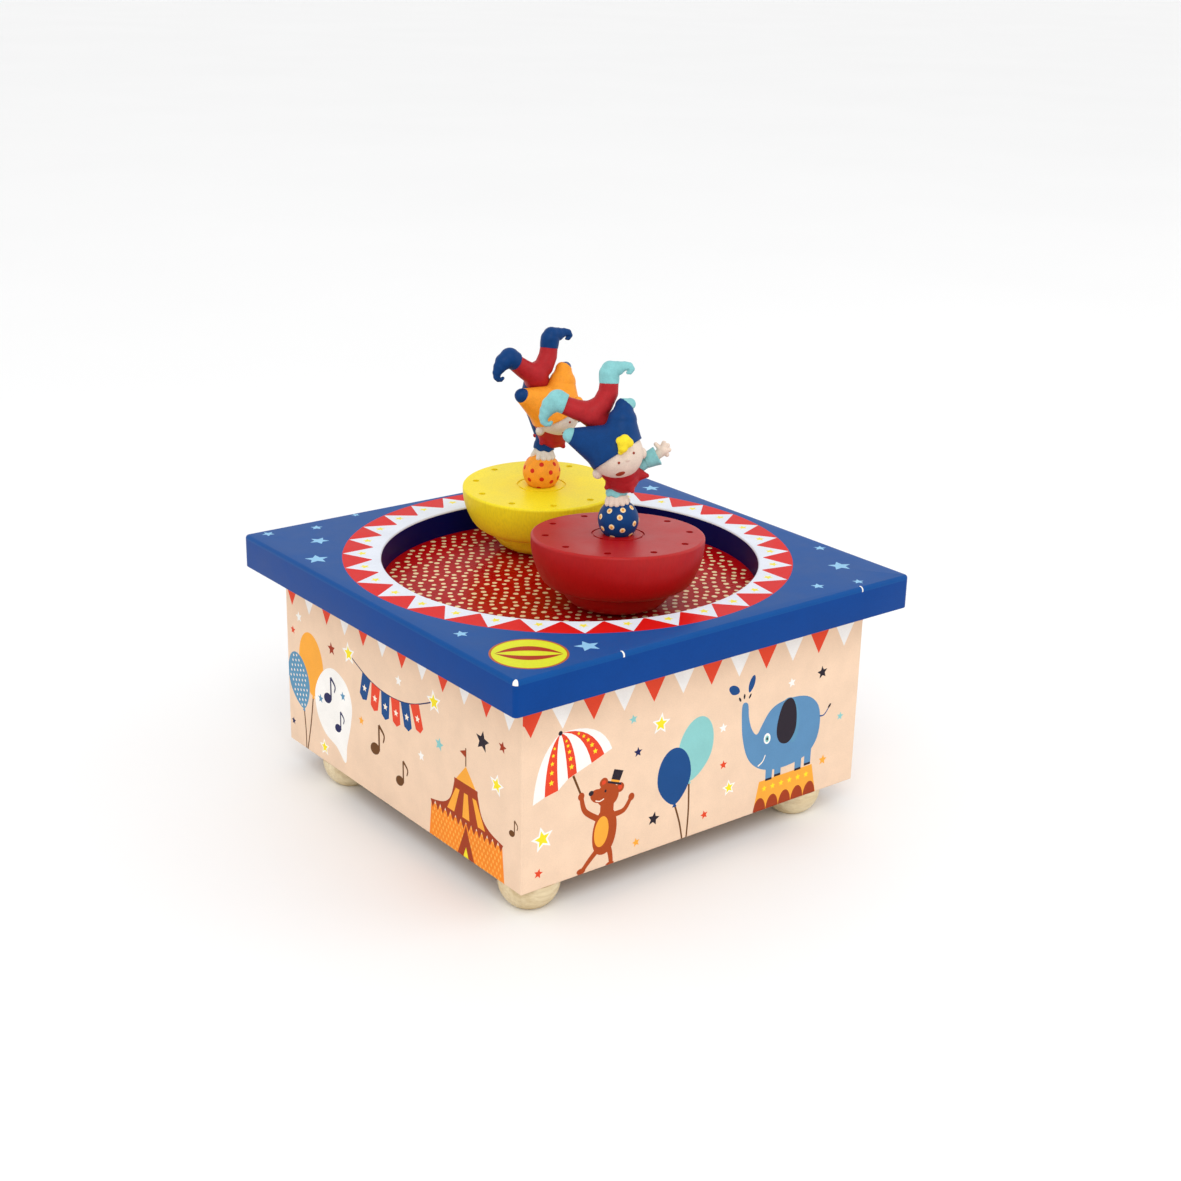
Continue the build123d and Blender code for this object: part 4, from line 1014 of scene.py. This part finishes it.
# ---------------------------------------------------------------- modelled parts melted together
class Clay:
    """One colour of a cast figure: rounded parts melted together, then skinned on a fine grid."""

    def __init__(self, cell=0.35, melt=0.5):
        self.cell = cell
        self.melt = melt
        self.parts = []
        self.cuts = []
        self.low = np.full(3, 1e9)
        self.high = np.full(3, -1e9)

    def reach(self, centre, radius):
        self.low = np.minimum(self.low, np.array(centre) - radius)
        self.high = np.maximum(self.high, np.array(centre) + radius)

    def limb(self, *joints, melt=None):
        """A round bar through joints given as (x, y, z, radius)."""
        joints = [np.array(joint, float) for joint in joints]
        for joint in joints:
            self.reach(joint[:3], joint[3])

        def distance(points):
            nearest = None
            for first, second in zip(joints, joints[1:]):
                along_bar = second[:3] - first[:3]
                share = np.clip((points - first[:3]) @ along_bar / (along_bar @ along_bar), 0, 1)
                gap = np.linalg.norm(points - first[:3] - share[:, None] * along_bar, axis=1)
                gap -= first[3] + share * (second[3] - first[3])
                nearest = gap if nearest is None else np.minimum(nearest, gap)
            return nearest

        self.parts.append((distance, self.melt if melt is None else melt))

    def ball(self, centre, radii, melt=None, axes=None):
        """An ellipsoid; axes are its three unit directions when it doesn't stand square."""
        centre, radii = np.array(centre, float), np.array(radii, float)
        axes = np.eye(3) if axes is None else np.array(axes, float)
        self.reach(centre, radii.max())

        def distance(points):
            local = (points - centre) @ axes.T
            near = np.linalg.norm(local / radii, axis=1)
            steep = np.linalg.norm(local / radii ** 2, axis=1)
            return near * (near - 1) / np.maximum(steep, 1e-9)

        self.parts.append((distance, self.melt if melt is None else melt))
        return self

    def cut(self, point, way, wave=None):
        """Takes away everything beyond the plane through the point, on the side the way looks to."""
        point, way = np.array(point, float), np.array(way, float)
        way /= np.linalg.norm(way)

        def distance(points):
            beyond = (points - point) @ way
            return beyond if wave is None else beyond + wave(points)

        self.cuts.append(distance)

    def field(self, points):
        total = None
        for distance, melt in self.parts:
            value = distance(points)
            if total is None:
                total = value
                continue
            share = np.clip(0.5 + 0.5 * (total - value) / melt, 0, 1)
            total = total + share * (value - total) - melt * share * (1 - share)
        for cut in self.cuts:
            total = np.maximum(total, cut(points))
        return total

    def skin(self):
        """Points and four-cornered faces where the field is zero: one point in each cell it crosses."""
        cell = self.cell
        low = self.low - 1.5 * cell
        counts = np.ceil((self.high - low) / cell).astype(int) + 3
        lines = [low[i] + cell * np.arange(counts[i]) for i in range(3)]
        grid = np.stack(np.meshgrid(*lines, indexing="ij"), -1)
        values = self.field(grid.reshape(-1, 3)).reshape(counts)
        total = np.zeros((*(counts - 1), 3))
        hits = np.zeros(counts - 1)
        edges = []
        for axis in range(3):
            u, v = (i for i in range(3) if i != axis)
            lower = [slice(None)] * 3
            upper = [slice(None)] * 3
            lower[axis], upper[axis] = slice(0, -1), slice(1, None)
            first, second = values[tuple(lower)], values[tuple(upper)]
            crossed = (first < 0) != (second < 0)
            share = np.where(crossed, first / np.where(crossed, first - second, 1), 0)
            place = grid[tuple(lower)].copy()
            place[..., axis] += cell * share
            for a in (0, 1):
                for b in (0, 1):
                    part = [slice(None)] * 3
                    part[u] = slice(a, counts[u] - 1 + a)
                    part[v] = slice(b, counts[v] - 1 + b)
                    part = tuple(part)
                    total += place[part] * crossed[part][..., None]
                    hits += crossed[part]
            edges.append((axis, u, v, np.argwhere(crossed), first))
        active = hits > 0
        number = np.full(active.shape, -1)
        number[active] = np.arange(active.sum())
        points = total[active] / hits[active][:, None]
        faces = []
        for axis, u, v, crossed, first in edges:
            outward = first[tuple(crossed.T)] < 0
            corners = []
            for a, b in ((1, 1), (0, 1), (0, 0), (1, 0)):
                spot = crossed.copy()
                spot[:, u] -= a
                spot[:, v] -= b
                corners.append(number[tuple(spot.T)])
            quads = np.stack(corners, 1)
            turned = outward != (axis != 1)
            quads[turned] = quads[turned][:, ::-1]
            faces.append(quads)
        probe, flattest, furthest = 0.02, 0.2, 0.4 * cell
        for step in range(3):
            value = self.field(points)
            slope = np.stack([(self.field(points + shift) - self.field(points - shift)) / (2 * probe)
                              for shift in np.eye(3) * probe], 1)
            size = np.maximum((slope ** 2).sum(1), flattest)
            points = points - np.clip(value / size, -furthest, furthest)[:, None] * slope
        return points, np.concatenate(faces)


def cast_piece(name, clay, material, stand, body, stand_in_for=None):
    """Builds a clay part in the frame stand (a 4x4 matrix in millimetres) and hangs it on its body."""
    points, faces = clay.skin()
    turn = np.array(stand.to_3x3())
    placed = (points @ turn.T + np.array(stand.translation)) * MM
    mesh = bpy.data.meshes.new(name)
    mesh.from_pydata(placed.tolist(), [], faces.tolist())
    mesh.validate()
    mesh.materials.append(materials[material])
    mesh.polygons.foreach_set("use_smooth", [True] * len(mesh.polygons))
    mesh.set_sharp_from_angle(angle=math.radians(55))
    piece = hang(name, mesh, body)
    if stand_in_for:
        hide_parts(stand_in_for)


# ---------------------------------------------------------------- the acrobats
dome_base = 73.8
ball_rise = 4.65
figure_scale = 1.015
ball_radius = 6.3
brim_way = (-0.475, 0.197, 0.858)
brim_point = (1.07, -3.4, 20.95)
head_centre = (1.24, -3.4, 21.5)
head_radius = 7.95


def standing_frame(spot, height, lean, face, back, aside):
    """The frame an acrobat stands in: X to its left hand, Y behind it, Z up from the middle of its ball."""
    away = Vector((math.cos(lean_heading), math.sin(lean_heading), 0))
    side = Vector((-away.y, away.x, 0))
    dome_way = away * math.sin(math.radians(lean)) + Vector((0, 0, math.cos(math.radians(lean))))
    centre = Vector((*spot, dome_base)) + dome_way * (height + ball_rise)
    upward = away * math.sin(math.radians(back)) + side * math.tan(math.radians(aside))
    upward = (upward + Vector((0, 0, math.cos(math.radians(back))))).normalized()
    turn = math.radians(face + 90)
    level = Vector((math.cos(turn), math.sin(turn), 0))
    left_hand = (level - upward * level.dot(upward)).normalized()
    matrix = Matrix((left_hand, upward.cross(left_hand), upward)).transposed().to_4x4()
    return Matrix.Translation(centre) @ matrix @ Matrix.Scale(figure_scale, 4)


def resin(name, code, roughness=0.42, mottle=0.1):
    """Hand-painted resin: brush-thick paint with a soft sheen, mottled and lightly rubbed."""
    surface = Surface(name, roughness=roughness, bending=1.22)
    surface.paint(linear(code), surface.noise(420.0, 4.0, 0.65), [(0.3, 1 - mottle), (0.72, 1 + mottle)],
                  surface.noise(2600.0, 3.0, 0.6), [(0.32, 0.9), (0.6, 1.0)],
                  (roughness - 0.06, roughness + 0.1))
    surface.bump(surface.noise(900.0, 4.0, 0.6), 0.06, 0.6)


def round_spots(ball_inks, stand, name, body, rows, size):
    """Painted dots on the ball: thin caps, one inside the other; rows are (latitude, longitudes)."""
    corners, depth, edge_depth, shoulder, shoulder_lift = 18, 0.3, 0.03, 0.8, 0.9
    for level, (material, width, lift) in enumerate(ball_inks):
        shell = Shell()
        for latitude, longitudes in rows:
            for longitude in longitudes:
                polar, round_way = math.radians(90 - latitude), math.radians(longitude)
                way = Vector((math.sin(polar) * math.cos(round_way), math.sin(polar) * math.sin(round_way),
                              math.cos(polar)))
                side = way.cross(Vector((0, 0, 1))).normalized()
                rise = side.cross(way)
                reach = size * width
                middle = shell.point(stand @ (way * (ball_radius + lift)))
                sunk = shell.point(stand @ (way * (ball_radius - depth)))
                half, full = [], []
                for k in range(corners):
                    angle = 2 * math.pi * k / corners
                    offset = side * math.cos(angle) + rise * math.sin(angle)
                    inward = (way * ball_radius + offset * reach * shoulder).normalized()
                    half.append(shell.point(stand @ (inward * (ball_radius + lift * shoulder_lift))))
                    full.append(shell.point(stand @ ((way * ball_radius + offset * reach).normalized()
                                                     * (ball_radius - edge_depth))))
                for k in range(corners):
                    after = (k + 1) % corners
                    shell.face((middle, half[k], half[after]), material)
                    shell.face((half[k], full[k], full[after], half[after]), material)
                    shell.face((sunk, full[after], full[k]), material)
        shell.build(f"{name}_dots_{level + 1}", body, sharp=60)


def acrobat(name, stand, palette):
    """A jester in a one-hand stand on a ball, in its own paints."""
    body = f"{name}_dancer"

    def part(label, clay, material, stand_in_for=None):
        cast_piece(f"{name}_{label}", clay, material, stand, body, stand_in_for)

    ball = Clay(cell=0.42).ball((0, 0, 0), (ball_radius,) * 3)
    part("ball", ball, palette["ball"], f"{name}_jester")
    round_spots(palette["dots"], stand, name, body, palette["rows"], palette["dot_size"])

    finger_reach, knuckle = 3.35, 0.65
    hand = Clay(cell=0.24, melt=0.5)
    hand.limb((0.1, 0.3, 9.0, 2.5), (0.0, 0.1, 7.0, 2.8))
    for longitude in (-150, -120, -91, -62, -32, 8, 52, 97, 150):
        way = math.radians(longitude)
        tip = (finger_reach * math.cos(way), finger_reach * math.sin(way), 5.45)
        hand.limb((tip[0] * knuckle, tip[1] * knuckle, 7.1, 1.2), (*tip, 0.85), melt=0.22)
    part("hand", hand, palette["skin"])

    wave = lambda points: 0.22 * np.cos(6 * np.arctan2(points[:, 1], points[:, 0]))
    cuff = Clay(cell=0.3, melt=0.4)
    cuff.limb((0.2, 0.3, 7.6, 3.6), (0.3, 0.5, 8.8, 3.4), (0.7, 0.8, 10.4, 3.1), (1.2, 1.4, 11.6, 3.3))
    cuff.cut((0, 0, 8.1), (0, 0.08, -1), wave)
    part("lower_sleeve", cuff, palette["sleeve"])

    jacket = Clay(cell=0.4, melt=1.2)
    jacket.limb((1.2, 1.4, 11.6, 3.2), (1.6, 2.8, 13.2, 3.7), (0.3, 4.5, 20.0, 4.7),
                (-2.6, 4.2, 26.0, 4.6), (-3.3, 3.2, 29.4, 4.1))
    jacket.limb((2.6, 2.2, 13.2, 3.2), (7.6, 1.6, 15.9, 2.2), (10.0, 1.5, 17.3, 2.2))
    part("jacket", jacket, palette["jacket"])

    free = Clay(cell=0.28, melt=0.3)
    free.limb((9.6, 1.5, 17.1, 2.3), (11.6, 1.5, 17.9, 2.65), (13.6, 1.6, 18.6, 3.05))
    free.cut((13.5, 1.6, 18.5), (0.92, 0.02, 0.38))
    free.cut((9.7, 1.5, 17.2), (-0.92, 0, -0.36))
    part("upper_sleeve", free, palette["sleeve"])

    palm = Clay(cell=0.2, melt=0.35)
    palm.limb((13.0, 1.6, 18.3, 1.3), (14.3, 1.7, 19.3, 1.5), (15.3, 1.7, 20.1, 1.6))
    for tip, radius in (((13.2, 1.7, 22.1), 0.62), ((15.7, 1.5, 22.3), 0.72), ((16.8, 1.5, 21.4), 0.72),
                        ((17.1, 1.6, 20.0), 0.72), ((16.4, 1.9, 18.5), 0.7)):
        root = Vector((14.9, 1.7, 20.0)).lerp(Vector(tip), 0.35)
        palm.limb((*root, radius + 0.2), (*tip, radius))
    part("free_hand", palm, palette["skin"])

    collar = Clay(cell=0.32, melt=0.8)
    collar.limb((1.4, -2.2, 17.6, 6.5), (2.4, -1.0, 13.4, 5.0))
    for tip in ((-2.7, -2.4, 10.9), (4.9, -4.2, 9.6), (9.7, -1.0, 13.2), (8.4, 4.6, 13.6), (2.6, 5.2, 10.6),
                (-1.4, 3.6, 11.6)):
        base = Vector((2.2, 0.0, 14.6)).lerp(Vector(tip), 0.42)
        collar.limb((*base, 3.2), (*tip, 0.75))
    part("collar", collar, palette["collar"])

    legs = Clay(cell=0.36, melt=0.9)
    legs.limb((-4.8, 1.4, 32.6, 3.9), (-2.6, 3.2, 29.6, 4.35))
    lift = palette["left_foot_lift"]
    legs.limb((-5.9, 1.2, 33.4, 3.5), (-9.7, 1.3, 34.8 + 0.5 * lift, 3.1), (-13.4, 1.5, 36.5 + lift, 2.75))
    legs.limb((-5.4, 1.2, 33.5, 3.6), (-1.9, 1.6, 35.7, 3.2), (0.1, 2.6, 38.9, 3.05), (0.7, 3.2, 42.2, 2.85))
    part("trousers", legs, palette["trousers"])

    shoes = Clay(cell=0.28, melt=0.4)
    toe = ((-12.5, 1.45, 36.3, 2.8), (-13.4, 1.5, 36.9, 3.1), (-15.3, 1.7, 38.0, 3.35),
           (-17.5, 1.8, 36.8, 2.75), (-18.9, 1.6, 35.2, 2.1), (-19.9, 1.4, 33.5, 1.5),
           (-20.0, 1.2, 32.1, 1.15), (-19.4, 1.15, 31.3, 0.9), (-18.4, 1.1, 31.1, 0.72),
           (-17.75, 1.0, 31.6, 0.55))
    shoes.limb(*[(x, y, z + lift, radius) for x, y, z, radius in toe])
    shoes.cut((-13.0, 1.5, 36.4 + lift), (0.9, -0.04, -0.42))
    part("left_shoe", shoes, palette["shoe"])
    shoes = Clay(cell=0.28, melt=0.4)
    shoes.limb((0.6, 3.1, 41.2, 2.95), (0.75, 3.25, 43.0, 3.1), (0.85, 3.3, 44.5, 3.1),
               (1.25, 3.3, 45.7, 2.75), (3.5, 3.0, 46.0, 2.2), (5.6, 2.6, 46.6, 1.45),
               (7.05, 2.3, 46.5, 1.2), (7.8, 2.1, 45.6, 0.9), (7.2, 2.0, 44.7, 0.72),
               (6.45, 2.0, 44.6, 0.5))
    shoes.cut((0.6, 3.1, 41.6), (-0.1, -0.15, -1))
    part("right_shoe", shoes, palette["shoe"])

    tuck = 0.3
    left_end = Vector((-12.1, -2.5, 27.8))
    left_way = Vector((-0.88, -0.13, 0.45))
    right_end = Vector((5.5, 0.0, 35.6))
    right_way = Vector((0.68, 0.3, 0.66))
    left_horn = ((-0.55, -3.2, 22.8, 8.2), (-12.1, -2.5, 27.8, 2.55))
    right_horn = ((2.4, -3.0, 24.2, 7.2), (3.7, -2.0, 31.0, 4.4),
                  (4.5, -0.8, 34.95, 2.75), (6.3, 0.7, 35.3, 1.85))
    hat = Clay(cell=0.36, melt=0.8)
    hat.limb(*left_horn)
    hat.limb(*right_horn)
    hat.ball((1.15, -3.35, 21.3), (8.55, 8.55, 8.3))
    hat.cut(brim_point, [-part for part in brim_way])
    hat.cut(left_end, left_way)
    hat.cut(right_end, right_way)
    part("hat", hat, palette["hat"])
    tips = Clay(cell=0.26, melt=0.2)
    tips.limb((-10.0, -2.4, 26.9, 3.3), (-12.1, -2.5, 27.8, 2.4), (-12.4, -2.5, 27.9, 2.2))
    tips.cut(left_end - left_way * tuck, -left_way)
    part("left_bell", tips, palette["tip"])
    tips = Clay(cell=0.26, melt=0.2)
    tips.limb((4.5, -0.8, 34.95, 2.7), (6.35, 0.75, 35.3, 1.8))
    tips.cut(right_end - right_way * tuck, -right_way)
    part("right_bell", tips, palette["tip"])

    head = Clay(cell=0.34, melt=0.5)
    head.ball(head_centre, (head_radius,) * 3)
    head.ball((-5.0, -4.3, 15.9), (1.6, 1.2, 1.7), melt=0.5)
    head.ball((9.0, -1.7, 20.4), (1.2, 1.6, 1.7), melt=0.5)
    head.ball((4.3, -10.7, 21.0), (0.62, 0.62, 0.58), melt=0.5)
    part("head", head, palette["skin"])

    features = Clay(cell=0.12, melt=0.05)
    centre = Vector(head_centre)
    eye_radius, eye_stands_at, mouth_stands_at = 0.42, 7.9, 7.66
    for offset in ((0.41, -7.88, -1.23), (5.05, -6.11, 0.99)):
        spot = centre + Vector(offset).normalized() * eye_stands_at
        features.ball(spot, (eye_radius,) * 3)
    part("eyes", features, palette["eye"])
    mouth_way = Vector((0.55, -6.1, -5.14)).normalized()
    across = Vector((0.86, 0.05, 0.5))
    across = (across - mouth_way * across.dot(mouth_way)).normalized()
    mouth = Clay(cell=0.14)
    mouth.ball(centre + mouth_way * mouth_stands_at, (1.6, 0.46, 1.1),
               axes=(across, mouth_way, across.cross(mouth_way)))
    part("mouth", mouth, palette["mouth"])

    tuft = Clay(cell=0.24, melt=0.45)
    tuft.limb((2.5, -11.2, 26.9, 1.25), (3.9, -11.5, 27.1, 1.7), (5.1, -11.3, 26.1, 1.4))
    tuft.limb((3.5, -11.8, 26.4, 1.7), (3.2, -11.9, 24.9, 1.5), (2.4, -11.6, 23.5, 0.8))
    tuft.limb((3.0, -9.8, 24.5, 1.7), (3.4, -11.2, 25.6, 1.6))
    part("hair", tuft, palette["hair"])


resin("resin_navy", "083B74")
resin("resin_orange", "F59B2C")
resin("resin_aqua", "86C4C6")
resin("resin_red", "AE2429")
resin("resin_skin", "E3CFBE", roughness=0.5, mottle=0.06)
resin("resin_yellow", "F3DA2E")
resin("resin_cream", "F6D9A4")
resin("resin_dot_red", "CF2A18")
resin("resin_dot_orange", "EFA040")
resin("resin_brown", "9A3B26")
resin("resin_pale", "DCD3C6", roughness=0.5)

acrobat("red", standing_frame((-3.05, -28.2), 23.2, 2.7, 232.2, 2.6, 6.1), {
    "ball": "resin_navy", "dot_size": 0.95,
    "dots": (("resin_cream", 1.0, 0.06), ("resin_dot_orange", 0.5, 0.1)),
    "rows": ((39, (-120, -70, -27, 22, 75, 120, 165)), (19, (-153, -85, 50, 100, 150)),
             (-7, (-111, -39, 0, 75, 125, 175)), (-15, (-146,)), (-20, (-80, 35)),
             (-45, (-120, -40, 20, 100, 160))),
    "skin": "resin_skin", "sleeve": "resin_aqua", "jacket": "resin_aqua", "collar": "resin_red",
    "trousers": "resin_red", "shoe": "resin_aqua", "hat": "resin_navy", "tip": "resin_aqua",
    "eye": "resin_brown", "mouth": "resin_brown", "hair": "resin_yellow", "left_foot_lift": 0.0,
})
acrobat("yellow", standing_frame((12.5, 33.0), 22.0, -1.9, 266.6, -1.4, -4.3), {
    "ball": "resin_orange", "dot_size": 0.85, "dots": (("resin_dot_red", 1.0, 0.06),),
    "rows": ((38, (-127, -70, -20, 30, 80, 140)), (14, (-155, -94, -45, 5, 60, 110, 165)),
             (-8, (-122, -60, -20, 35, 85, 135)), (-17, (-164, -88)), (-45, (-130, -50, 30, 100))),
    "skin": "resin_pale", "sleeve": "resin_navy", "jacket": "resin_navy", "collar": "resin_red",
    "trousers": "resin_red", "shoe": "resin_navy", "hat": "resin_orange", "tip": "resin_navy",
    "eye": "resin_brown", "mouth": "resin_brown", "hair": "resin_orange", "left_foot_lift": 1.5,
})


# ---------------------------------------------------------------- the ground
def ground():
    """The pale floor that the box stands on."""
    surface = Surface("ground", roughness=0.6)
    pale = linear("F6F6F6")
    surface.colour(surface.ramp(surface.noise(3.0, 3.0), [(0.3, shade(pale, 0.985)), (0.7, pale)]))
    mesh = bpy.data.meshes.new("ground")
    reach = 12.0
    corners = [(-reach, -reach, 0), (reach, -reach, 0), (reach, reach, 0), (-reach, reach, 0)]
    mesh.from_pydata(corners, [], [(0, 1, 2, 3)])
    mesh.materials.append(surface.material)
    plane = bpy.data.objects.new("ground", mesh)
    bpy.context.scene.collection.objects.link(plane)


ground()
